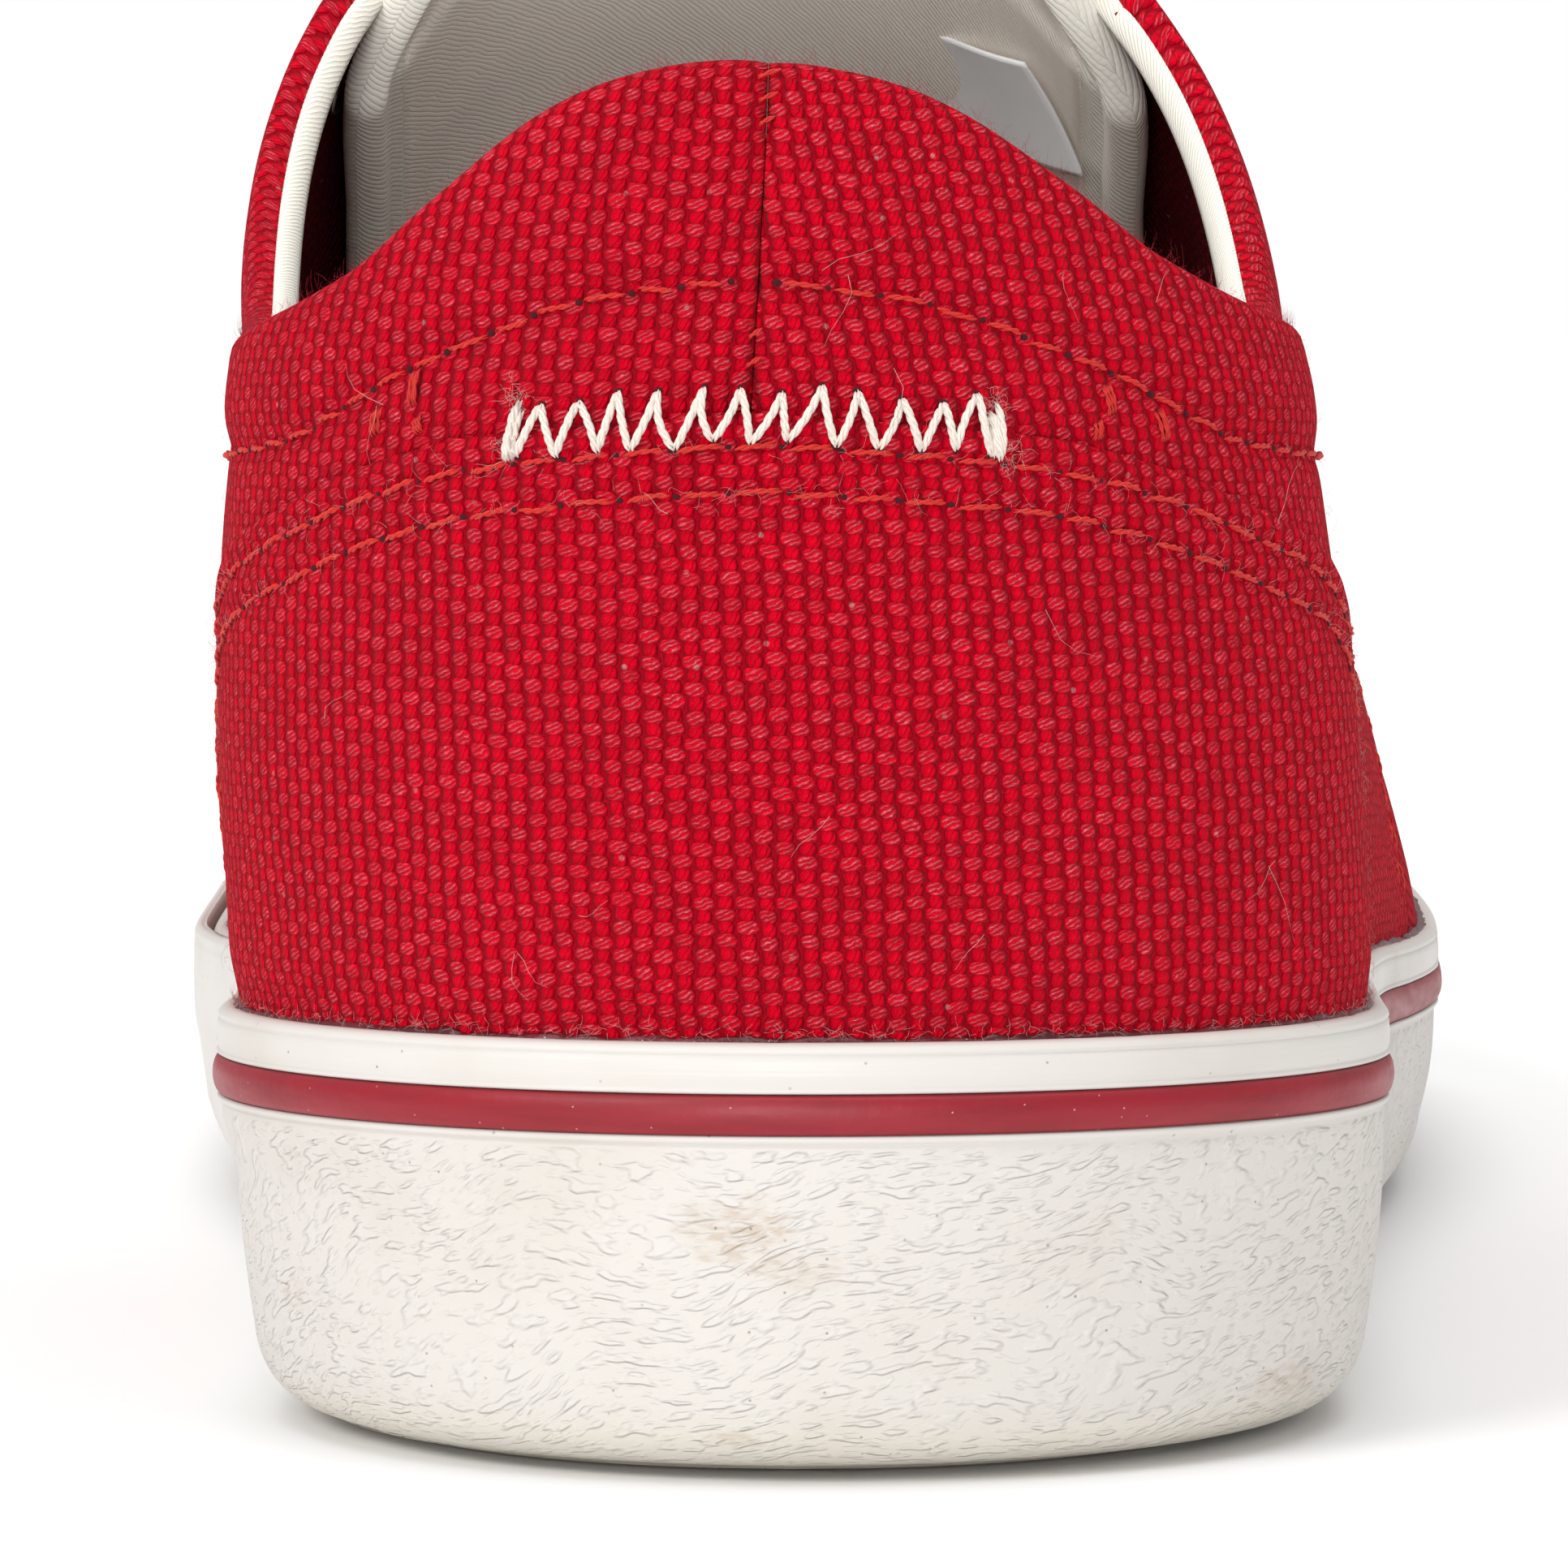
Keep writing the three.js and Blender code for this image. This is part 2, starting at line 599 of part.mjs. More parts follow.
/** Toe bumper: white rubber laid over the whole height of the sidewall round the toe. */
function makeToeBumper() {
  const first = angleAt(BUMPER_LATERAL, 1);
  const last = 2 * Math.PI - angleAt(BUMPER_MEDIAL, 1);
  // Columns: the bumper's back and face, out from the joint line, then the height as in the sidewall.
  const section = [
    { back: 2.15, face: 2.5, from: 'top', by: 0.4 },
    { back: 2.15, face: 3.0, from: 'top', by: -0.4 },
    { back: 2.15, face: 3.0, from: 'top', by: -6.5 },
    { back: 1.4, face: 2.7, from: 'top', by: -7.8 },
    { back: 0.6, face: 1.7, from: 'edge', by: 6 },
    { back: -0.3, face: 0.6, from: 'edge', by: 3.4 },
  ];
  const face = [];
  const back = [];
  for (let i = 0; i <= BUMPER_STEPS; i += 1) {
    const angle = first + ((last - first) * i) / BUMPER_STEPS;
    const top = jointHeight(jointPoint(angle).s);
    const place = (out, from, by) => {
      const p = jointPoint(angle, out);
      return new THREE.Vector3(p.x, p.s, (from === 'top' ? top : edgeHeight(p.s)) + by);
    };
    face.push(section.map((row) => place(row.face, row.from, row.by)));
    back.push(section.map((row) => place(row.back, row.from, row.by)));
  }
  return shell(face, back, false);
}

/** Outsole: the tread plate inside the sidewall, with cross grooves between its lugs. */
function makeOutsole() {
  const outward = -SIDEWALL_FOOT - GAP;
  let solid = toManifold(plate(SOLE_ANGLES, outward, floorHeight, soleTop));
  for (let s = GROOVE_FIRST; s < LAST_LENGTH - GROOVE_TOE; s += GROOVE_PITCH) {
    if (s > ARCH_START && s < ARCH_END) continue;
    const half = Math.min(...[-1, 1].map((sign) => {
      const p = jointPoint(angleAt(s, sign), outward - TREAD_BORDER);
      return Math.abs(p.x);
    }));
    const slope = Math.atan(floorHeight(s + 0.5) - floorHeight(s - 0.5));
    const groove = new THREE.BoxGeometry(2 * half, GROOVE_WIDTH, 2 * GROOVE_DEPTH);
    groove.rotateX(slope).translate(0, s, floorHeight(s));
    solid = solid.subtract(toManifold(groove));
  }
  return fromManifold(solid);
}

/** Insole: the footbed on the outsole, inside the upper's foot. */
function makeInsole() {
  const outward = -(FOOT_TUCK + WALL + 2 * GAP);
  const low = (s) => soleTop(s) + GAP;
  const high = (s) => soleTop(s) + GAP + INSOLE_THICKNESS;
  return plate(SOLE_ANGLES, outward, low, high);
}

/** Tongue: a padded pad under the throat, following the upper's inside, with a free end above it. */
function makeTongue() {
  const across = [-1, -0.75, -0.5, -0.25, 0, 0.25, 0.5, 0.75, 1];
  const stations = [192, 178, 164, 150, 138, 126, 118, 112];
  const face = [];
  const back = [];
  for (const s of stations) {
    const outer = [];
    const inner = [];
    for (const w of across) {
      const angle = angleAt(s, w < 0 ? -1 : 1);
      const low = findV(angle, (p) => p.z >= tongueEdge(s));
      const v = 1 - Math.abs(w) * (1 - low);
      const depth = WALL + TONGUE_CLEARANCE;
      outer.push(inset(angle, v, depth));
      inner.push(inset(angle, v, depth + TONGUE_THICKNESS - TONGUE_THINNING * w * w));
    }
    face.push(outer);
    back.push(inner);
  }
  const [lastFace, lastBack] = [face.at(-1), back.at(-1)];
  const crown = lastFace[(across.length - 1) / 2];
  for (const share of [0.3, 0.6, 0.88, 1]) {
    const narrow = 1 - TONGUE_NARROWING * share ** 0.6;
    const thin = share === 1 ? 0.5 : 1;
    const move = (p) => new THREE.Vector3(
      crown.x + (p.x - crown.x) * narrow,
      p.y - TONGUE_LEAN * share,
      crown.z + (p.z - crown.z) * (1 - TONGUE_FLATTENING * share) + TONGUE_RISE * share,
    );
    const outer = lastFace.map(move);
    const inner = lastBack.map((p, j) => move(p).lerp(outer[j], 1 - thin));
    face.push(outer);
    back.push(inner);
  }
  return shell(face, back, false);
}

/** Laces: crossings between the eyelet rows and a bar at the bottom, joined into one net. */
function makeLaces() {
  const seat = (sign, row) => EYELETS.find((e) => e.sign === sign && e.row === row).place;
  const runs = [{ from: seat(-1, EYELET_ROWS - 1), to: seat(1, EYELET_ROWS - 1) }];
  for (let row = 0; row < EYELET_ROWS - 1; row += 1) {
    runs.push({ from: seat(-1, row), to: seat(1, row + 1) });
    runs.push({ from: seat(1, row), to: seat(-1, row + 1) });
  }
  const solids = runs.map(({ from, to }) => toManifold(laceRun(from, to)));
  return fromManifold(solids.reduce((joined, solid) => joined.add(solid)));
}

/** One flat run of lace over the upper's surface between two eyelets. */
function laceRun(from, to) {
  const steps = 6;
  const length = Math.hypot(to.x - from.x, to.y - from.y);
  const trim = LACE_END_GAP / length;
  const over = (x, s) => {
    const centre = surface(angleAt(s, 1), 1).x;
    const angle = angleAt(s, x < centre ? -1 : 1);
    const v = vAcross(angle, Math.abs(x - centre));
    return { point: surface(angle, v), normal: surfaceNormal(angle, v) };
  };
  const at = (t) => over(from.x + (to.x - from.x) * t, from.y + (to.y - from.y) * t);
  const face = [];
  const back = [];
  for (let i = 0; i <= steps; i += 1) {
    const t = trim + ((1 - 2 * trim) * i) / steps;
    const { point, normal } = at(t);
    const ahead = at(t + 0.02).point.sub(at(t - 0.02).point);
    const wide = new THREE.Vector3().crossVectors(ahead, normal).normalize();
    const edge = (side, height) => point.clone()
      .addScaledVector(wide, (side * LACE_WIDTH) / 2)
      .addScaledVector(normal, height);
    const low = LACE_CLEARANCE;
    face.push([edge(-1, low + LACE_THICKNESS), edge(1, low + LACE_THICKNESS)]);
    back.push([edge(-1, low), edge(1, low)]);
  }
  return shell(face, back, false);
}

// ---------------------------------------------------------------- assembly

const FINISH = {
  canvas: { color: 0xb01228, roughness: 0.95, metalness: 0 },
  cotton: { color: 0xe9e4d8, roughness: 0.95, metalness: 0 },
  whiteRubber: { color: 0xf0ede6, roughness: 0.55, metalness: 0 },
  redRubber: { color: 0x96202e, roughness: 0.35, metalness: 0 },
  footbed: { color: 0xcfc8ba, roughness: 0.9, metalness: 0 },
  metal: { color: 0xd9d9d6, roughness: 0.3, metalness: 1 },
};

const group = new THREE.Group();

function addPiece(name, geometry, finish) {
  const mesh = new THREE.Mesh(geometry, new THREE.MeshStandardMaterial(FINISH[finish]));
  mesh.name = name;
  group.add(mesh);
  return mesh;
}

addPiece('outsole', makeOutsole(), 'whiteRubber');
addPiece('sidewall', makeSidewall(), 'whiteRubber');
addPiece('sidewall_stripe', makeStripe(), 'redRubber');
addPiece('toe_bumper', makeToeBumper(), 'whiteRubber');
addPiece('insole', makeInsole(), 'footbed');
addPiece('upper', makeUpper(), 'canvas');
addPiece('tongue', makeTongue(), 'cotton');
addPiece('laces', makeLaces(), 'cotton');
for (const eyelet of EYELETS) {
  const mesh = addPiece(eyelet.name, makeEyelet(), 'metal');
  mesh.position.copy(eyelet.place);
  mesh.quaternion.copy(eyelet.turn);
}

const bounds = new THREE.Box3().setFromObject(group);
const middle = bounds.getCenter(new THREE.Vector3());
group.position.set(-middle.x, -middle.y, -bounds.min.z);

export default group;
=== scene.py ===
"""Looks of a low canvas sneaker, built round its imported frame.

Sizes are in millimetres in the shoe's own layout: station s runs from the back of the heel to the
toe, x is positive to the outer side, and z stands on the floor. They become metres at the end.
"""
import logging
import math
from dataclasses import dataclass, field
from enum import Enum
from typing import Callable, Optional, Sequence, Union

import bmesh
import bpy
import numpy as np
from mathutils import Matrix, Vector


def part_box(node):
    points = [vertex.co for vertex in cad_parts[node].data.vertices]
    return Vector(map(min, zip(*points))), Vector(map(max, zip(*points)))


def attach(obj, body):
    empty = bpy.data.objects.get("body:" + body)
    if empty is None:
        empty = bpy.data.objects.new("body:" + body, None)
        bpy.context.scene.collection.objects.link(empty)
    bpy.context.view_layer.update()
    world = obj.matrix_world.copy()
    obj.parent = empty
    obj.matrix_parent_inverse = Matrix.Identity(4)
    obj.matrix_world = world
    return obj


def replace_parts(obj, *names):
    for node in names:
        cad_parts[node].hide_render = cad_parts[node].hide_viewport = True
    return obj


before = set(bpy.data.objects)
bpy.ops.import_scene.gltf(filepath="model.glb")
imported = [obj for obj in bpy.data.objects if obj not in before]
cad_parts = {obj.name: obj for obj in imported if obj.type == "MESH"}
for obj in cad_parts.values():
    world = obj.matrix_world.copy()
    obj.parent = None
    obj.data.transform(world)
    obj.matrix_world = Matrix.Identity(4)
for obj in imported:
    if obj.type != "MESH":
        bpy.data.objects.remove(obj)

Array = np.ndarray
Colour = tuple[float, float, float, float]
Material = bpy.types.Material
Node = bpy.types.Node
Object = bpy.types.Object
Socket = bpy.types.NodeSocket
Value = Union[float, "Signal"]
MM = 0.001
CLOTH = "cloth"
log = logging.getLogger("sneaker")


class Side(Enum):
    """The two sides of the shoe, by the sign of x."""

    MEDIAL = -1
    LATERAL = 1


def smooth(x: Array) -> Array:
    """Eased step from 0 to 1."""
    t = np.clip(x, 0.0, 1.0)
    return t * t * (3.0 - 2.0 * t)


def bell(x: Array, width: float) -> Array:
    """Soft bump of height 1 at x = 0."""
    return np.exp(-((x / width) ** 2))


def clustered(start: float, stop: float, near: Sequence[float], count: int) -> Array:
    """Even steps from start to stop, with extra steps close to both ends.

    Args:
        start: First value.
        stop: Last value.
        near: Distances from each end that get a step of their own.
        count: Number of even steps between them.

    Returns:
        The sorted values.
    """
    inner = np.linspace(start + near[-1], stop - near[-1], count)
    low = start + np.array([0.0, *near[:-1]])
    return np.concatenate([low, inner, np.sort(stop - np.array([0.0, *near[:-1]]))])


# ---------------------------------------------------------------- the last


class Curve:
    """A monotone cubic through (place, value) rows."""

    def __init__(self, rows: Sequence[tuple[float, float]]) -> None:
        """Keeps the rows and works out the slope at each."""
        self.x = np.array([r[0] for r in rows], float)
        self.y = np.array([r[1] for r in rows], float)
        chord = np.diff(self.y) / np.diff(self.x)
        inner = [2 * a * b / (a + b) if a * b > 0 else 0.0 for a, b in zip(chord[:-1], chord[1:])]
        self.slope = np.array([chord[0], *inner, chord[-1]])

    def __call__(self, place: Array) -> Array:
        """Value at each place, held level beyond both ends."""
        x = np.clip(place, self.x[0], self.x[-1])
        i = np.clip(np.searchsorted(self.x, x, side="left") - 1, 0, len(self.x) - 2)
        span = self.x[i + 1] - self.x[i]
        t = (x - self.x[i]) / span
        t2, t3 = t * t, t * t * t
        return (
            (2 * t3 - 3 * t2 + 1) * self.y[i]
            + (t3 - 2 * t2 + t) * span * self.slope[i]
            + (3 * t2 - 2 * t3) * self.y[i + 1]
            + (t3 - t2) * span * self.slope[i + 1]
        )


def end_cap(distance: Array, length: float, roundness: float) -> Array:
    """Share of the half width left at a distance from a rounded end."""
    u = np.clip(1 - distance / length, 0, 1)
    return (1 - u**roundness) ** (1 / roundness)


class Last:
    """The outer face of the upper, by an angle round the shoe and a share v of the way up.

    Angle 0 is the back of the heel, positive angles are on the lateral side and pi is the toe.
    v is 0 on the joint line, where canvas meets rubber, and 1 on the ridge.
    """

    LENGTH = 278.0
    CORNER = 111.0
    THROAT_END = 173.5
    HEEL_PIVOT, TOE_PIVOT, PIVOT_SOFTNESS = 32.0, 236.0, 14.0
    HEEL_CAP, TOE_CAP, HEEL_ROUNDNESS, TOE_ROUNDNESS = 35.0, 74.0, 2.0, 2.4
    # station, medial and lateral half width of the joint line
    PLAN = [
        (0, 35.1, 36.0), (36, 35.1, 36.0), (75, 35.3, 36.6), (105, 37.0, 38.8), (135, 42.6, 42.6),
        (165, 46.6, 46.0), (190, 47.8, 46.8), (215, 48.2, 46.0), (240, 47.5, 43.5), (278, 46.0, 38.0),
    ]
    # station, height of the joint line
    JOINT = [
        (0, 26.5), (60, 25.0), (110, 22.6), (150, 20.4), (185, 19.4), (225, 20.4), (250, 23.2), (278, 30.0),
    ]
    # station, height of the ridge and its lean to the lateral side
    RIDGE = [
        (30, 122, -4.5), (60, 121, -5.5), (85, 117, -7), (108, 108, -7.5), (130, 95, -7.5),
        (150, 83, -7), (172, 71, -6), (195, 61, -5), (218, 53.5, -4), (240, 48, -4),
    ]
    # station, rise, medial waist and shoulder, lateral waist and shoulder
    SIDE = [
        (0, 0.42, 1.03, 0.93, 1.03, 0.92), (40, 0.42, 1.01, 0.93, 1.01, 0.88),
        (70, 0.44, 1.05, 1.03, 1.01, 0.93), (100, 0.46, 1.1, 0.97, 1.0, 0.99),
        (130, 0.5, 1.06, 0.84, 0.98, 0.87), (155, 0.52, 1.03, 0.7, 0.96, 0.7),
        (180, 0.52, 1.02, 0.6, 0.97, 0.62), (220, 0.52, 1.04, 0.58, 1.03, 0.58),
        (250, 0.58, 1.04, 0.6, 1.04, 0.6), (278, 0.66, 1.05, 0.62, 1.05, 0.62),
    ]
    # station, medial and lateral height of the collar's edge
    COLLAR = [
        (0, 85.1, 85.1), (2, 82.9, 83.3), (6.5, 77.2, 78.2), (12, 72.4, 73.4), (20, 69.8, 70.6),
        (30, 68.4, 69.2), (60, 67.3, 67.5), (76, 69.0, 69.0), (90, 75.5, 75.0), (102, 85.5, 85.0),
        (109, 93.5, 93.0),
    ]
    # station, half width of the throat
    THROAT = [(111, 22), (118, 19.5), (135, 15.5), (152, 12), (164, 9), (169, 6.5), (172, 3), (173.5, 0)]

    def __init__(self) -> None:
        """Builds the curves and the table of lengths round the shoe."""

        def column(rows: Sequence[tuple[float, ...]], k: int) -> Curve:
            """One column of a table as a curve."""
            return Curve([(r[0], r[k]) for r in rows])

        self.plan = column(self.PLAN, 1), column(self.PLAN, 2)
        self.top = column(self.JOINT, 1)
        self.ridge, self.lean = column(self.RIDGE, 1), column(self.RIDGE, 2)
        self.rise = column(self.SIDE, 1)
        self.waist = column(self.SIDE, 2), column(self.SIDE, 4)
        self.shoulder = column(self.SIDE, 3), column(self.SIDE, 5)
        self.collar = column(self.COLLAR, 1), column(self.COLLAR, 2)
        self.throat = column(self.THROAT, 1)
        angle = np.linspace(-math.pi, math.pi, 2881)
        points = self.surface(angle, np.full_like(angle, 0.3))
        run = run_along(points, 0)
        self._angles, self._runs = angle, run - run[len(run) // 2]
        self._edges = self.rounded_edge(angle)

    def around(self, angle: Array) -> Array:
        """Length round the shoe from the back of the heel."""
        return np.interp(angle, self._angles, self._runs)

    def angle_around(self, length: Array) -> Array:
        """Angle at a length round the shoe."""
        return np.interp(length, self._runs, self._angles)

    def angle_at(self, station: Array, sign: float) -> Array:
        """Angle at a station on one side."""
        return sign * np.arccos(1 - 2 * np.clip(station, 0, self.LENGTH) / self.LENGTH)

    def joint(self, angle: Array, out: float = 0.0) -> tuple[Array, Array]:
        """Plan of the joint line.

        Args:
            angle: Angles round the shoe.
            out: Distance outside the joint line.

        Returns:
            x and station of each point.
        """

        def at(a: Array) -> tuple[Array, Array]:
            """The line itself."""
            s = self.LENGTH / 2 * (1 - np.cos(a))
            sign = np.where(np.sin(a) < 0, -1.0, 1.0)
            half = np.where(sign < 0, self.plan[0](s), self.plan[1](s))
            heel = end_cap(s, self.HEEL_CAP, self.HEEL_ROUNDNESS)
            toe = end_cap(self.LENGTH - s, self.TOE_CAP, self.TOE_ROUNDNESS)
            return sign * half * heel * toe, s

        x, s = at(angle)
        (x0, s0), (x1, s1) = at(angle - 0.01), at(angle + 0.01)
        dx, ds = x1 - x0, s1 - s0
        length = np.hypot(dx, ds)
        return x + out * ds / length, s - out * dx / length

    def station(self, s: Array) -> Array:
        """Ridge station that a section fans out from."""
        soft = self.PIVOT_SOFTNESS**2
        low = (s + self.HEEL_PIVOT + np.sqrt((s - self.HEEL_PIVOT) ** 2 + soft)) / 2
        return (low + self.TOE_PIVOT - np.sqrt((low - self.TOE_PIVOT) ** 2 + soft)) / 2

    def surface(self, angle: Array, v: Array) -> Array:
        """Points of the outer face, one row of x, station and z for each angle and v."""
        angle, v = np.broadcast_arrays(angle, v)
        x, s = self.joint(angle)
        side = np.where(np.sin(angle) < 0, 0.0, 1.0)
        w = np.where(np.abs(angle) < 0.3, smooth(angle / 0.6 + 0.5), side)

        def both(pair: tuple[Curve, Curve]) -> Array:
            """A side's value, blended across the back of the heel."""
            return pair[0](s) * (1 - w) + pair[1](s) * w

        st, u, foot = self.station(s), 1 - v, self.top(s)
        out = u**3 + 3 * v * u * u * both(self.waist) + 3 * v * v * u * both(self.shoulder)
        up = 3 * v * u * u * self.rise(s) + 3 * v * v * u + v**3
        return np.stack(
            [x * out + self.lean(st) * up, st + (s - st) * out, foot + (self.ridge(st) - foot) * up], -1
        )

    def normal(self, angle: Array, v: Array) -> Array:
        """Outward unit normals of the outer face."""
        angle, v = np.broadcast_arrays(angle, v)
        h = 0.004
        c = np.clip(v, h, 0.985)
        along = self.surface(angle + h, c) - self.surface(angle - h, c)
        up = self.surface(angle, c + h) - self.surface(angle, c - h)
        n = unit(np.cross(along, up))
        st = self.station(self.joint(angle)[1])
        slope = (self.ridge(st + 1) - self.ridge(st - 1)) / 2
        crest = unit(np.stack([np.zeros_like(slope), -slope, np.ones_like(slope)], -1))
        w = smooth((v - 0.97) / 0.03)[..., None]
        return unit(n * (1 - w) + crest * w)

    def at(self, angle: Array, v: Array, lift: Union[float, Array] = 0.0) -> Array:
        """Points at a lift above the outer face."""
        lift = np.asarray(lift, float)
        if lift.ndim:
            lift = lift[..., None]
        return self.surface(angle, v) + self.normal(angle, v) * lift

    def find(self, angle: Array, test: Callable[[Array], Array]) -> Array:
        """Smallest v whose point passes the test, by bisection."""
        low, high = np.zeros(np.shape(angle)), np.ones(np.shape(angle))
        for _ in range(30):
            mid = (low + high) / 2
            passed = test(self.surface(angle, mid))
            high = np.where(passed, mid, high)
            low = np.where(passed, low, mid)
        return high

    def at_height(self, angle: Array, z: Array) -> Array:
        """v at a height over the floor."""
        return self.find(angle, lambda p: p[..., 2] >= z)

    def across(self, angle: Array, distance: Array) -> Array:
        """v at a distance from the ridge line, measured across the shoe."""
        centre = self.surface(angle, np.ones(np.shape(angle)))[..., 0]
        return self.find(angle, lambda p: np.abs(p[..., 0] - centre) <= distance)

    def sharp_edge(self, angle: Array) -> Array:
        """v of the upper's edge with a sharp corner between collar and throat."""
        s = self.joint(angle)[1]
        z = np.where(np.sin(angle) < 0, self.collar[0](s), self.collar[1](s))
        v = np.where(s >= self.CORNER, self.across(angle, self.throat(s)), self.at_height(angle, z))
        return np.where(s >= self.THROAT_END, 1.0, v)

    def edge(self, angle: Array) -> Array:
        """v of the upper's edge at an angle."""
        return np.interp(angle, self._angles, self._edges)

    def rounded_edge(self, angle: Array) -> Array:
        """v of the upper's edge, with the corner between collar and throat rounded."""
        v = self.sharp_edge(angle)
        s = self.joint(angle)[1]
        near = smooth((7.0 - np.abs(s - self.CORNER)) / 3.0)
        sign = np.where(np.sin(angle) < 0, -1.0, 1.0)
        ways = [self.sharp_edge(self.angle_at(s + d, sign)) for d in np.linspace(-3.5, 3.5, 8)]
        return v * (1 - near) + np.mean(ways, axis=0) * near

    def floor_height(self, s: Array) -> Array:
        """Underside of the tread."""
        spring = np.clip((s - 205) / (self.LENGTH - 205), 0, None)
        arch = np.clip((s - 98) / (146 - 98), 0, 1)
        return 10 * spring**2 + 1.5 * np.sin(np.pi * arch) ** 2

    def edge_height(self, s: Array) -> Array:
        """Lower edge of the sidewall."""
        spring = np.clip((s - 205) / (self.LENGTH - 205), 0, None)
        return 10 * spring**2 + 0.5

    def sole_top(self, s: Array) -> Array:
        """Upper face of the outsole."""
        spring = np.clip((s - 205) / (self.LENGTH - 205), 0, None)
        return 11 - 2 * smooth(s / 190) + 10 * spring**2


def unit(vectors: Array) -> Array:
    """Vectors scaled to length 1."""
    return vectors / np.maximum(np.linalg.norm(vectors, axis=-1, keepdims=True), 1e-12)


def run_along(points: Array, axis: int) -> Array:
    """Length run along one axis of a grid of points."""
    first = np.take(points, [0], axis=axis)
    return np.cumsum(np.linalg.norm(np.diff(points, axis=axis, prepend=first), axis=-1), axis=axis)


@dataclass(frozen=True)
class Placement:
    """Shift from the shoe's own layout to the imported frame, in millimetres."""

    x: float
    y: float

    @classmethod
    def of(cls, last: Last) -> "Placement":
        """Reads the shift from the sidewall's box and its plan 1.5 mm outside the joint line."""
        low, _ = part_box("sidewall")
        half = [math.pi * i / 24 for i in range(-23, 25)]
        x, s = last.joint(np.array(half), 1.5)
        return cls(x=low[0] / MM - float(x.min()), y=low[1] / MM - float(s.min()))

    def metres(self, points: Array) -> Array:
        """Points of the shoe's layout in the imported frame's metres."""
        return (np.asarray(points, float) + np.array([self.x, self.y, 0.0])) * MM


# ---------------------------------------------------------------- meshes


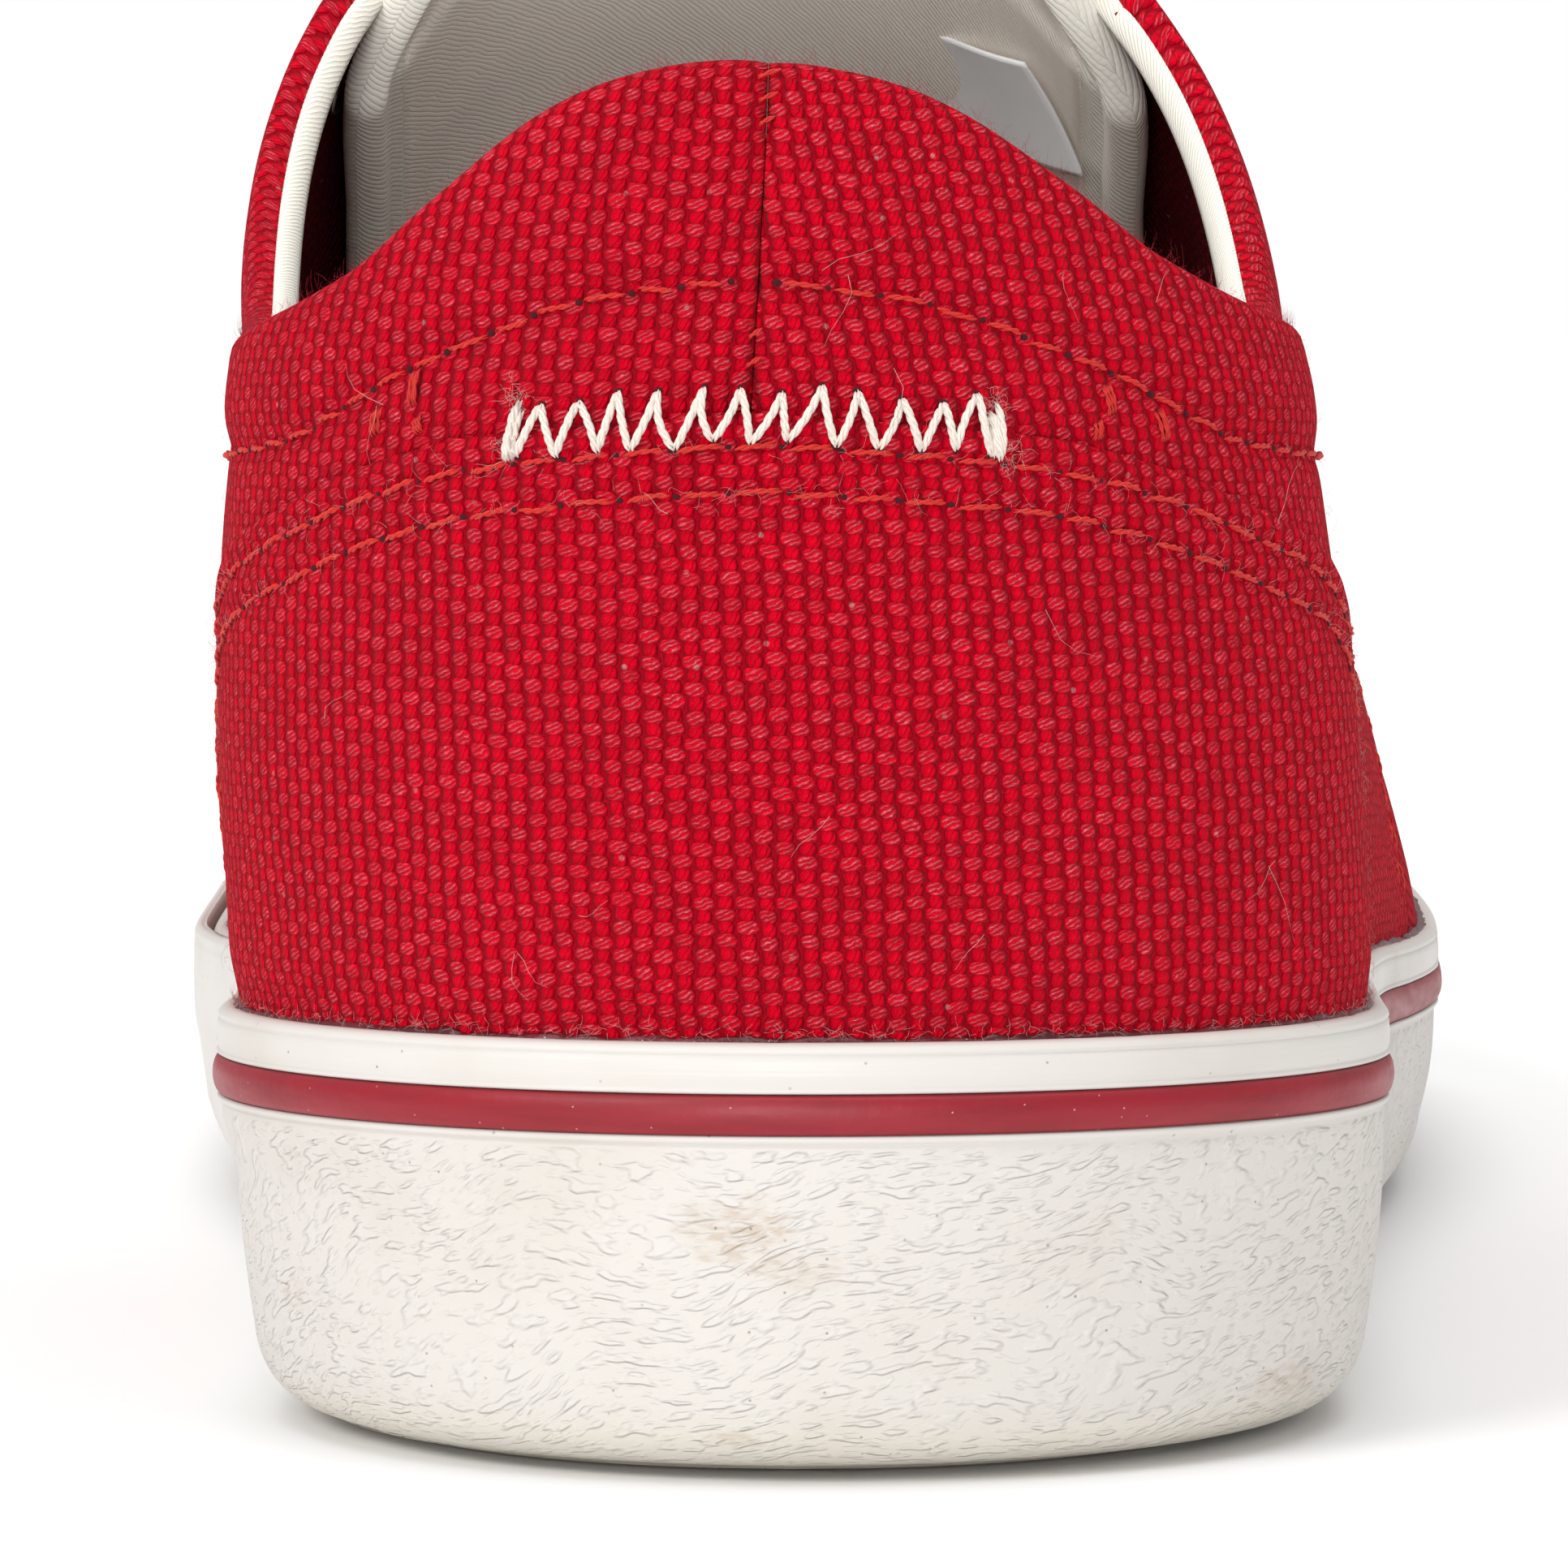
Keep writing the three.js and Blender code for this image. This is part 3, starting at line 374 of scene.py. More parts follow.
@dataclass
class Shape:
    """Vertices, faces and cloth coordinates gathered before they become one object."""

    points: list[Array] = field(default_factory=list)
    quads: list[Array] = field(default_factory=list)
    cloth: list[Array] = field(default_factory=list)
    count: int = 0

    def add(self, points: Array, quads: Array, cloth: Optional[Array] = None) -> None:
        """Adds vertices and the faces between them.

        Args:
            points: Vertices, in millimetres.
            quads: Rows of four indices into them.
            cloth: Two cloth coordinates for each vertex.
        """
        flat = points.reshape(-1, 3)
        self.points.append(flat)
        self.quads.append(quads.reshape(-1, 4) + self.count)
        self.cloth.append(np.zeros((len(flat), 2)) if cloth is None else cloth.reshape(-1, 2))
        self.count += len(flat)

    def grid(self, points: Array, cloth: Optional[Array] = None,
             wrap: tuple[bool, bool] = (False, False)) -> None:
        """Adds a grid of points as a sheet.

        Args:
            points: The grid, rows by columns by 3.
            cloth: Its cloth coordinates.
            wrap: Whether the rows and the columns close on themselves.
        """
        n, m = points.shape[:2]
        rows, columns = n - 1 + wrap[0], m - 1 + wrap[1]
        i, j = np.meshgrid(np.arange(rows), np.arange(columns), indexing="ij")
        below, beside = ((i + 1) % n) * m, (j + 1) % m
        self.add(points, np.stack([i * m + j, below + j, below + beside, i * m + beside], -1), cloth)

    def shell(self, face: Array, back: Array, cloth: Array, back_cloth: Optional[Array] = None) -> None:
        """Adds a closed sheet with a face, a back and rims.

        Args:
            face: Grid of the outer face.
            back: Grid of the inner face.
            cloth: Cloth coordinates of the face.
            back_cloth: Those of the back, where it has its own.
        """
        loop = np.concatenate([face, back[:, ::-1]], axis=1)
        both = np.concatenate([cloth, (cloth if back_cloth is None else back_cloth)[:, ::-1]], axis=1)
        start = self.count
        self.grid(loop, both, wrap=(False, True))
        n, m2 = loop.shape[:2]
        m = m2 // 2
        j = np.arange(m - 1)
        for row, turned in ((0, True), (n - 1, False)):
            base = row * m2
            strip = np.stack([base + j, base + j + 1, base + m2 - 2 - j, base + m2 - 1 - j], -1)
            self.quads.append((strip if turned else strip[:, ::-1]) + start)

    def tubes(self, paths: Array, radius: Array, sides: int, up: Optional[Array] = None) -> None:
        """Adds round tubes along many paths at once.

        Args:
            paths: Paths by points by 3.
            radius: Tube radius at each point.
            sides: Sides of the tube.
            up: A direction that the frames follow, for each point.
        """
        k, n = paths.shape[:2]
        along = unit(np.gradient(paths, axis=1))
        if up is None:
            lead = np.where(np.abs(along[..., 2:3]) > 0.9, [[[1.0, 0, 0]]], [[[0, 0, 1.0]]])
        else:
            lead = np.broadcast_to(up, paths.shape)
        wide = unit(np.cross(along, lead))
        high = np.cross(wide, along)
        turn = np.arange(sides) * 2 * np.pi / sides
        r = np.broadcast_to(np.asarray(radius, float), (k, n))[..., None, None]
        ring = (
            paths[:, :, None]
            + r * np.cos(turn)[None, None, :, None] * wide[:, :, None]
            + r * np.sin(turn)[None, None, :, None] * high[:, :, None]
        )
        run = run_along(paths, 1)
        cloth = np.stack(np.broadcast_arrays(run[..., None], (turn * 0.3)[None, None]), -1)
        a, i, j = np.meshgrid(np.arange(k), np.arange(n - 1), np.arange(sides), indexing="ij")
        first, nxt = (a * n + i) * sides, (a * n + i + 1) * sides
        quads = np.stack([first + j, first + (j + 1) % sides, nxt + (j + 1) % sides, nxt + j], -1)
        self.add(ring, quads, cloth)

    def plies(self, paths: Array, up: Array, radius: float, turns: float, count: int = 2) -> None:
        """Adds twisted threads.

        Args:
            paths: Centre lines, paths by points by 3.
            up: A direction for each point.
            radius: Half the thread's thickness.
            turns: Turns of the twist along each path.
            count: Number of plies.
        """
        n = paths.shape[1]
        along = unit(np.gradient(paths, axis=1))
        wide = unit(np.cross(along, up))
        high = np.cross(wide, along)
        t = np.linspace(0, 1, n)
        taper = np.clip(np.minimum(t, 1 - t) * n / 1.5, 0.12, 1.0)
        for start in np.arange(count) * 2 * np.pi / count:
            phase = (start + 2 * np.pi * turns * t)[None, :, None]
            centre = paths + 0.47 * radius * (np.cos(phase) * wide + np.sin(phase) * high)
            self.tubes(centre, 0.56 * radius * taper[None, :], 5, up)


class Unrolled:
    """Cloth coordinates on the last: u round the shoe and b up from the joint line, in millimetres."""

    STEP_U, STEP_B, ROWS = 0.5, 0.5, 161

    def __init__(self, last: Last) -> None:
        """Measures every column of the last once."""
        self.last = last
        reach = 0.999 * last.around(np.array([math.pi]))[0]
        self.u = np.arange(-reach, reach, self.STEP_U)
        v = np.linspace(0, 1, self.ROWS)
        self.arcs = run_along(last.surface(last.angle_around(self.u)[:, None], v[None, :]), 1)
        b = np.arange(0, self.arcs.max() + self.STEP_B, self.STEP_B)
        self.shares = np.array([np.interp(b, row, v) for row in self.arcs])

    def _look(self, table: Array, u: Array, q: Array) -> Array:
        """Bilinear look-up, with q counted in columns of the table."""
        i = np.clip((u - self.u[0]) / self.STEP_U, 0, len(self.u) - 1.001)
        j = np.clip(q, 0, table.shape[1] - 1.001)
        i0, j0 = i.astype(int), j.astype(int)
        fi, fj = i - i0, j - j0
        near = table[i0, j0] * (1 - fj) + table[i0, j0 + 1] * fj
        far = table[i0 + 1, j0] * (1 - fj) + table[i0 + 1, j0 + 1] * fj
        return near * (1 - fi) + far * fi

    def arc(self, u: Array, v: Array) -> Array:
        """Length up from the joint line."""
        return self._look(self.arcs, u, v * (self.ROWS - 1))

    def share(self, u: Array, b: Array) -> Array:
        """v at a length up from the joint line."""
        return self._look(self.shares, u, b / self.STEP_B)

    def at_height(self, u: Array, z: Array) -> Array:
        """Length up from the joint line at a height over the floor."""
        return self.arc(u, self.last.at_height(self.last.angle_around(u), z))

    def edge(self, u: Array) -> Array:
        """Length from the joint line to the upper's edge."""
        return self.arc(u, self.last.edge(self.last.angle_around(u)))

    def at(self, u: Array, b: Array, lift: Union[float, Array] = 0.0) -> Array:
        """Points at a lift above the outer face, also a little below the joint line."""
        angle = self.last.angle_around(u)
        points = self.last.at(angle, self.share(u, np.maximum(b, 0)), lift)
        points[..., 2] += np.minimum(b, 0)
        return points

    def normal(self, u: Array, b: Array) -> Array:
        """Outward normals."""
        return self.last.normal(self.last.angle_around(u), self.share(u, np.maximum(b, 0)))


def resample(line: Array, pitch: float) -> Array:
    """A line with its points moved to even distances."""
    run = run_along(line, 0)
    count = max(2, int(round(run[-1] / pitch)) + 1)
    even = np.linspace(0, run[-1], count)
    return np.stack([np.interp(even, run, line[:, k]) for k in range(line.shape[1])], -1)


def shifted(line: Array, distance: float) -> Array:
    """A cloth line moved sideways, to the right of its direction."""
    along = unit(np.gradient(line, axis=0))
    return line + distance * np.stack([along[:, 1], -along[:, 0]], -1)


def gap_to(line: Array, u: Array, b: Array) -> Array:
    """Distance from cloth points to a cloth line."""
    flat = np.stack([u.ravel(), b.ravel()], -1)
    best = np.full(len(flat), 1e9)
    for start in range(0, len(flat), 4000):
        part = flat[start : start + 4000]
        apart = np.hypot(part[:, :1] - line[None, :, 0], part[:, 1:] - line[None, :, 1])
        best[start : start + 4000] = apart.min(axis=1)
    return best.reshape(u.shape)


# ---------------------------------------------------------------- shader graphs


def srgb(red: int, green: int, blue: int) -> Colour:
    """A colour picker's red, green and blue as a linear colour."""

    def linear(c: float) -> float:
        """One channel."""
        return c / 12.92 if c <= 0.04045 else ((c + 0.055) / 1.055) ** 2.4

    return linear(red / 255), linear(green / 255), linear(blue / 255), 1.0


def dimmed(colour: Colour, share: float) -> Colour:
    """A darker colour of the same hue."""
    return tuple(c * share for c in colour[:3]) + (1.0,)


def operator(operation: str, swapped: bool = False) -> Callable[["Signal", Value], "Signal"]:
    """An arithmetic operator that adds one Math node."""

    def apply(self: "Signal", other: Value) -> "Signal":
        """The result of the operation."""
        pair = (other, self) if swapped else (self, other)
        return self.graph.math(operation, *pair)

    return apply


class Signal:
    """A value that changes over the surface; plain arithmetic on it adds Math nodes."""

    __add__, __radd__ = operator("ADD"), operator("ADD", swapped=True)
    __sub__, __rsub__ = operator("SUBTRACT"), operator("SUBTRACT", swapped=True)
    __mul__, __rmul__ = operator("MULTIPLY"), operator("MULTIPLY", swapped=True)
    __truediv__, __pow__ = operator("DIVIDE"), operator("POWER")

    def __init__(self, graph: "Graph", socket: Socket) -> None:
        """Takes the output that carries the value."""
        self.graph, self.socket = graph, socket

    def __abs__(self) -> "Signal":
        """Size without the sign."""
        return self.graph.math("ABSOLUTE", self)


class Graph:
    """Short calls for building one node tree."""

    def __init__(self, tree: bpy.types.NodeTree) -> None:
        """Takes the tree to build in."""
        self.tree = tree

    def node(self, kind: str, **settings: object) -> Node:
        """Adds a node and sets its properties."""
        made = self.tree.nodes.new("ShaderNode" + kind)
        for name, value in settings.items():
            setattr(made, name, value)
        return made

    def put(self, socket: Socket, value: object) -> None:
        """Links a signal to the input, or sets the input's own value."""
        if isinstance(value, Signal):
            self.tree.links.new(value.socket, socket)
        else:
            socket.default_value = value

    def read(self, node: Node, output: Union[int, str] = 0) -> Signal:
        """One output of a node."""
        return Signal(self, node.outputs[output])

    def math(self, operation: str, *values: Value) -> Signal:
        """One step of arithmetic."""
        made = self.node("Math", operation=operation)
        for socket, value in zip(made.inputs, values):
            self.put(socket, value)
        return self.read(made)

    def step(self, value: Value, low: Value, high: Value, start: float = 0.0, stop: float = 1.0) -> Signal:
        """Eased step between two values."""
        made = self.node("MapRange", interpolation_type="SMOOTHSTEP")
        ends = {"Value": value, "From Min": low, "From Max": high, "To Min": start, "To Max": stop}
        for name, x in ends.items():
            self.put(made.inputs[name], x)
        return self.read(made, "Result")

    def split(self, vector: Signal) -> tuple[Signal, Signal]:
        """x and y of a vector."""
        made = self.node("SeparateXYZ")
        self.put(made.inputs[0], vector)
        return self.read(made, 0), self.read(made, 1)

    def join(self, x: Value, y: Value) -> Signal:
        """A flat vector of two values."""
        made = self.node("CombineXYZ")
        for socket, value in zip(made.inputs, (x, y)):
            self.put(socket, value)
        return self.read(made)

    def noise(self, vector: Signal, scale: float, detail: float = 2.0, output: str = "Fac") -> Signal:
        """Soft noise from 0 to 1."""
        made = self.node("TexNoise")
        self.put(made.inputs["Vector"], vector)
        made.inputs["Scale"].default_value = scale
        made.inputs["Detail"].default_value = detail
        return self.read(made, output)

    def stretched(self, u: Signal, v: Signal, scale_u: float, scale_v: float, detail: float = 2.0) -> Signal:
        """Soft noise with its own scale along each cloth coordinate."""
        return self.noise(self.join(u * scale_u, v * scale_v), 1.0, detail)

    def random(self, x: Value, y: Value) -> Signal:
        """A different value for each whole-numbered place."""
        made = self.node("TexWhiteNoise", noise_dimensions="2D")
        self.put(made.inputs["Vector"], self.join(x, y))
        return self.read(made, "Value")

    def wave(self, value: Signal) -> Signal:
        """Sine of pi times a value."""
        return self.math("SINE", value * math.pi)

    def mix(self, share: Value, a: object, b: object) -> Signal:
        """Two colours mixed."""
        made = self.node("Mix", data_type="RGBA")
        for k, value in ((0, share), (6, a), (7, b)):
            self.put(made.inputs[k], value)
        return self.read(made, 2)

    def group(self, tree: bpy.types.NodeTree, **inputs: object) -> Node:
        """Places a node group with its own values."""
        made = self.node("Group", node_tree=tree)
        for name, value in inputs.items():
            self.put(made.inputs[name.replace("_", " ")], value)
        return made

    def cloth(self) -> Signal:
        """Cloth coordinates in millimetres."""
        return self.read(self.node("UVMap", uv_map=CLOTH))

    def dress(self, colour: Signal, roughness: Signal, height: Signal, depth: float, **fixed: object) -> None:
        """Feeds the material's shader.

        Args:
            colour: Base colour.
            roughness: Roughness.
            height: Relief, from 0 to 1.
            depth: Depth of the relief in millimetres.
            fixed: Inputs that are the same all over, with _ for a space.
        """
        relief = self.node("Bump")
        relief.inputs["Strength"].default_value = 1.0
        relief.inputs["Distance"].default_value = depth * MM
        self.put(relief.inputs["Height"], height)
        shader = self.tree.nodes["Principled BSDF"]
        fed = {"Base Color": colour, "Roughness": roughness, "Normal": self.read(relief)}
        for name, value in fed.items():
            self.put(shader.inputs[name], value)
        for name, value in fixed.items():
            shader.inputs[name.replace("_", " ")].default_value = value


class Group(Graph):
    """Graph of a shader node group, with named inputs and outputs."""

    def __init__(self, name: str, usual: dict[str, Optional[float]], outputs: Sequence[str]) -> None:
        """Starts the group.

        Args:
            name: Name of the group.
            usual: Input names with their usual values; None marks a vector.
            outputs: Names of the value outputs.
        """
        super().__init__(bpy.data.node_groups.new(name, "ShaderNodeTree"))
        for label, value in usual.items():
            kind = "NodeSocketVector" if value is None else "NodeSocketFloat"
            made = self.tree.interface.new_socket(name=label, in_out="INPUT", socket_type=kind)
            if value is not None:
                made.default_value = value
        for label in outputs:
            self.tree.interface.new_socket(name=label, in_out="OUTPUT", socket_type="NodeSocketFloat")
        source = self.tree.nodes.new("NodeGroupInput")
        self.inputs = [self.read(source, label) for label in usual]
        self.sink = self.tree.nodes.new("NodeGroupOutput")

    def give(self, **outputs: Signal) -> bpy.types.NodeTree:
        """Feeds the outputs and hands over the finished group."""
        for name, value in outputs.items():
            self.put(self.sink.inputs[name], value)
        return self.tree


class Effects:
    """Node groups that several finishes share, each built once."""

    def __init__(self) -> None:
        """Builds the groups."""
        self.weave = self.plain_weave()
        self.twill = self.twill_weave()
        self.stain = self.stain_patch()
        self.specks = self.dust_specks()

    def plain_weave(self) -> bpy.types.NodeTree:
        """Fat floats and small crossing yarns in turn, each with its twist. Gap marks the low gaps between
        yarns for painted shade, and Shine marks the strand tops for a painted highlight.
        """
        usual = {"Cloth": None, "Rib": 1.2, "Row": 0.8, "Slack": 1.0, "Narrow": 0.42}
        g = Group("plain weave", usual, ("Height", "Gap", "Shine", "Tone"))
        cloth, rib, row, slack, narrow = g.inputs
        u, v = g.split(cloth)
        wave_u, wave_v = g.split(g.noise(cloth, 0.16, 2.0, "Color"))
        fine_u, fine_v = g.split(g.noise(cloth, 0.9, 1.0, "Color"))
        u = u + (wave_u - 0.5) * slack * 0.8 + (fine_u - 0.5) * slack * 0.16
        v = v + (wave_v - 0.5) * slack * 0.9 + (fine_v - 0.5) * slack * 0.14
        column = u / rib
        whole_u, in_u = g.math("FLOOR", column), g.math("FRACT", column) - 0.5
        level = v / row + (g.random(whole_u, 3.0) - 0.5) * 0.34
        whole_v, in_v = g.math("FLOOR", level), g.math("FRACT", level) - 0.5
        odd = g.math("FLOORED_MODULO", whole_u + whole_v, 2.0)
        chance, other = g.random(whole_u, whole_v), g.random(whole_u + 41.0, whole_v)

        def dome(wide: Value, tall: Value) -> Signal:
            """Rounded bump that falls to 0 at its half width and half height."""
            fallen = (abs(in_u) / wide) ** 2.3 + (abs(in_v) / tall) ** 2.3
            return g.math("MAXIMUM", 1.0 - fallen, 0.0) ** 0.6

        def either(fat: Signal, thin: Signal) -> Signal:
            """One value on the fat floats and the other on the thin yarns."""
            return fat * (1.0 - odd) + thin * odd

        shape = either(dome(0.5 + chance * 0.12, 0.66), dome(narrow, 0.7) * 0.5)
        flat_twist = in_v * 2.4 + in_u * -1.7 + chance * 0.5
        steep_twist = in_v * 1.3 + in_u * -3.2 + other * 0.5
        twist = either(flat_twist, steep_twist) + (g.noise(cloth, 2.4) - 0.5) * 1.1
        strand = 0.5 + 0.5 * g.wave(twist * 2.0)
        hair, lump = g.stretched(u, v, 5.0, 9.0), g.stretched(u, v, 1.5, 2.2)
        height = shape * (0.6 + strand * 0.34 + lump * 0.28) + hair * 0.12
        # Painted highlight: bright strand tops with noisy sparkle, read by the canvas as Shine.
        sparkle = g.step(g.stretched(u, v, 2.6, 4.4), 0.5, 0.68)
        glint = strand**1.3 * (0.45 + sparkle * 0.6)
        shine = glint * g.step(shape, 0.45, 0.9) * (0.45 + other * 0.55)
        tone = chance * 0.45 + g.noise(cloth, 0.05, 3.0) * 0.55
        # Gap is 1 where the yarn's dome is low: there the colour takes painted shade.
        return g.give(Height=height, Gap=g.step(shape, 0.62, 0.1), Shine=shine, Tone=tone)

    def twill_weave(self) -> bpy.types.NodeTree:
        """Fine slanting ridges broken into short floats. Gap marks the low parts between ridges for painted
        shade.
        """
        g = Group("twill", {"Cloth": None, "Pitch": 0.6, "Slope": 1.0}, ("Height", "Gap"))
        cloth, pitch, slope = g.inputs
        u, v = g.split(cloth)
        sway = (g.noise(cloth, 0.35) - 0.5) * 0.9
        across = (u + v * slope + sway) / pitch
        along = (v + u * -0.5) / (pitch * 1.1)
        ridge, bead = abs(g.wave(across)), abs(g.wave(along + g.math("FLOOR", across) * 0.5))
        height = ridge**0.6 * (0.7 + bead**0.5 * 0.3)
        return g.give(Height=height + g.noise(cloth, 7.0) * 0.12, Gap=g.step(height, 0.55, 0.1))

    def stain_patch(self) -> bpy.types.NodeTree:
        """A soft broken patch of dirt round one place."""
        usual = {"Cloth": None, "Place U": 0.0, "Place V": 0.0, "Reach U": 4.0, "Reach V": 2.0, "Break": 0.6}
        g = Group("stain patch", usual, ("Mask",))
        cloth, place_u, place_v, reach_u, reach_v, torn = g.inputs
        u, v = g.split(cloth)
        x, y = (u - place_u) / reach_u, (v - place_v) / reach_v
        away = g.math("SQRT", x * x + y * y) + (g.stretched(u, v, 0.45, 1.3, 4.0) - 0.5) * 1.6
        grit = g.step(g.stretched(u, v, 0.8, 2.4, 4.0), torn, 0.42)
        return g.give(Mask=g.step(away, 1.0, 0.35) * (0.25 + (1.0 - grit) * 0.75))

    def dust_specks(self) -> bpy.types.NodeTree:
        """Tiny scattered specks."""
        g = Group("dust specks", {"Cloth": None, "Spacing": 2.5, "Size": 0.06, "Amount": 0.4}, ("Mask",))
        cloth, spacing, size, amount = g.inputs
        u, v = g.split(cloth)
        made = g.node("TexVoronoi", voronoi_dimensions="2D")
        g.put(made.inputs["Vector"], g.join(u / spacing, v / spacing))
        made.inputs["Scale"].default_value = 1.0
        red, green = g.split(g.read(made, "Color"))
        spot = g.step(g.read(made, "Distance"), size, size * 0.4)
        return g.give(Mask=spot * g.math("LESS_THAN", red, amount) * (0.4 + green * 0.6))


@dataclass(frozen=True)
class Finish:
    """A named material; each kind paints its own graph."""

    name: str

    def material(self, effects: Effects) -> Material:
        """Builds the material on the shared effects."""
        made = bpy.data.materials.new(self.name)
        made.use_nodes = True
        graph = Graph(made.node_tree)
        self.paint(graph, graph.cloth(), effects)
        return made

    def paint(self, g: Graph, cloth: Signal, effects: Effects) -> None:
        """Feeds the shader."""
        raise NotImplementedError


@dataclass(frozen=True)
class Canvas(Finish):
    """Heavy plain-weave cotton."""

    body: Colour
    # gap: colour of the painted shade in the low gaps between yarns.
    gap: Colour
    # shine: colour of the painted highlight on the strand tops.
    shine: Colour
    lint: Colour = srgb(225, 190, 190)
    rib: float = 1.2
    row: float = 0.8
    depth: float = 0.95
    sheen_tint: Colour = (1.0, 0.55, 0.6, 1.0)

    def paint(self, g: Graph, cloth: Signal, effects: Effects) -> None:
        """Feeds the shader."""
        weave = g.group(effects.weave, Cloth=cloth, Rib=self.rib, Row=self.row)
        tone = g.read(weave, "Tone")
        colour = g.mix(g.step(tone, 0.15, 0.85), dimmed(self.body, 0.8), self.body)
        # Painted highlight: the pale shine colour laid on the strand tops.
        colour = g.mix(g.read(weave, "Shine"), colour, self.shine)
        # Painted shade: the gap colour darkens the low gaps between yarns.
        colour = g.mix(g.read(weave, "Gap") * 0.75, colour, self.gap)
        lint = g.group(effects.specks, Cloth=cloth, Spacing=4.5, Size=0.05, Amount=0.25)
        colour = g.mix(g.read(lint) * 0.35, colour, self.lint)
        g.dress(colour, g.step(tone, 0.0, 1.0, 0.82, 0.95), g.read(weave, "Height"), self.depth,
                Specular_IOR_Level=0.06, Sheen_Weight=0.03, Sheen_Roughness=0.35, Sheen_Tint=self.sheen_tint)


@dataclass(frozen=True)
class Twill(Finish):
    """Fine slanting cotton weave."""

    body: Colour
    # gap: colour of the painted shade between the ridges.
    gap: Colour
    pitch: float
    depth: float = 0.12
    slope: float = 1.0
    sheen: float = 0.2

    def paint(self, g: Graph, cloth: Signal, effects: Effects) -> None:
        """Feeds the shader."""
        weave = g.group(effects.twill, Cloth=cloth, Pitch=self.pitch, Slope=self.slope)
        colour = g.mix(g.noise(cloth, 0.12, 4.0), dimmed(self.body, 0.9), self.body)
        # Painted shade: the gap colour darkens the low parts between the ridges.
        colour = g.mix(g.read(weave, "Gap") * 0.7, colour, self.gap)
        g.dress(colour, g.step(g.noise(cloth, 0.4), 0.2, 0.8, 0.8, 0.95), g.read(weave, "Height"), self.depth,
                Specular_IOR_Level=0.2, Sheen_Weight=self.sheen, Sheen_Roughness=0.5)


@dataclass(frozen=True)
class Thread(Finish):
    """Twisted sewing thread or loose fibre."""

    body: Colour
    dark: Colour
    roughness: float
    sheen: float = 0.3

    def paint(self, g: Graph, cloth: Signal, effects: Effects) -> None:
        """Feeds the shader."""
        strands = g.stretched(*g.split(cloth), 2.2, 9.0, 3.0)
        # Darker where the strand relief is low: painted shade in the twist's dips, along with random strand
        # tone.
        colour = g.mix(g.step(strands, 0.35, 0.65), self.dark, self.body)
        rough = g.step(strands, 0.0, 1.0, self.roughness + 0.15, self.roughness - 0.1)
        g.dress(colour, rough, strands, 0.05, Sheen_Weight=self.sheen, Specular_IOR_Level=0.35)


@dataclass(frozen=True)
class WallRubber(Finish):
    """Off-white rubber: smooth band on top, crepe grain on the wall below it."""

    grained: bool = True
    body: Colour = srgb(221, 217, 211)
    # shade: colour of the random mottle, and of the painted shade between the grain's islands.
    shade: Colour = srgb(207, 200, 189)
    foot: Colour = srgb(232, 224, 206)
    stain: Colour = srgb(190, 168, 144)
    dust: Colour = srgb(120, 104, 96)
    grain_depth: float = 0.14
    grain_start: float = 6.1
    # place round the heel and down from the joint line, reach both ways, strength
    stains: tuple[tuple[float, ...], ...] = (
        (-2.6, 11.2, 4.2, 2.6, 0.55), (1.2, 13.6, 2.8, 1.6, 0.35), (-3.0, 24.4, 2.8, 0.9, 0.6),
        (36.0, 22.0, 5.0, 1.6, 0.4), (-38.0, 17.0, 3.0, 1.4, 0.25), (-170.0, 15.0, 7.0, 2.0, 0.35),
        (215.0, 14.0, 8.0, 2.0, 0.35),
    )

    def paint(self, g: Graph, cloth: Signal, effects: Effects) -> None:
        """Feeds the shader."""
        u, v = g.split(cloth)
        mottle = g.noise(cloth, 0.06, 4.0)
        colour = g.mix(g.step(mottle, 0.45, 0.8, 0.0, 0.6), self.body, self.shade)
        height = g.stretched(u, v, 0.02, 2.6, 3.0) * 0.25
        gloss = g.step(mottle, 0.3, 0.7, 0.36, 0.5)
        if self.grained:
            relief, hollow_shade = self.grain(g, cloth, u, v)
            zone = g.step(v, self.grain_start, self.grain_start + 0.5)
            height = relief * zone + height * (1.0 - zone)
            # Painted shade: the low parts between the grain's islands are darkened.
            colour = g.mix(hollow_shade * zone * 0.12, colour, self.shade)
            for at_u, at_v, reach_u, reach_v, strength in self.stains:
                patch = g.group(effects.stain, Cloth=cloth, Place_U=at_u, Place_V=at_v, Reach_U=reach_u,
                                Reach_V=reach_v)
                colour = g.mix(g.read(patch) * strength, colour, self.stain)
            colour = g.mix(g.step(v, 21.5, 25.5) * 0.35, colour, self.foot)
            gloss = gloss + g.step(v, 5.9, 6.5) * 0.12
        dust = g.group(effects.specks, Cloth=cloth, Spacing=2.2, Size=0.055, Amount=0.22)
        colour = g.mix(g.read(dust) * 0.7, colour, self.dust)
        g.dress(colour, gloss, height, self.grain_depth, Specular_IOR_Level=0.45)

    def grain(self, g: Graph, cloth: Signal, u: Signal, v: Signal) -> tuple[Signal, Signal]:
        """Short low islands, level or slanting up to the right, and a mask of the low parts between them,
        which the wall darkens as painted shade.
        """
        slant = v + u * 0.2 + (g.noise(cloth, 0.055, 1.0) - 0.5) * 9.0
        island = g.step(g.stretched(u, slant, 0.5, 1.3, 1.0), 0.5, 0.66)
        small = g.step(g.stretched(u, slant, 0.9, 2.4, 1.0), 0.55, 0.72)
        return island + small * 0.35 + g.noise(cloth, 2.0) * 0.08, 1.0 - island


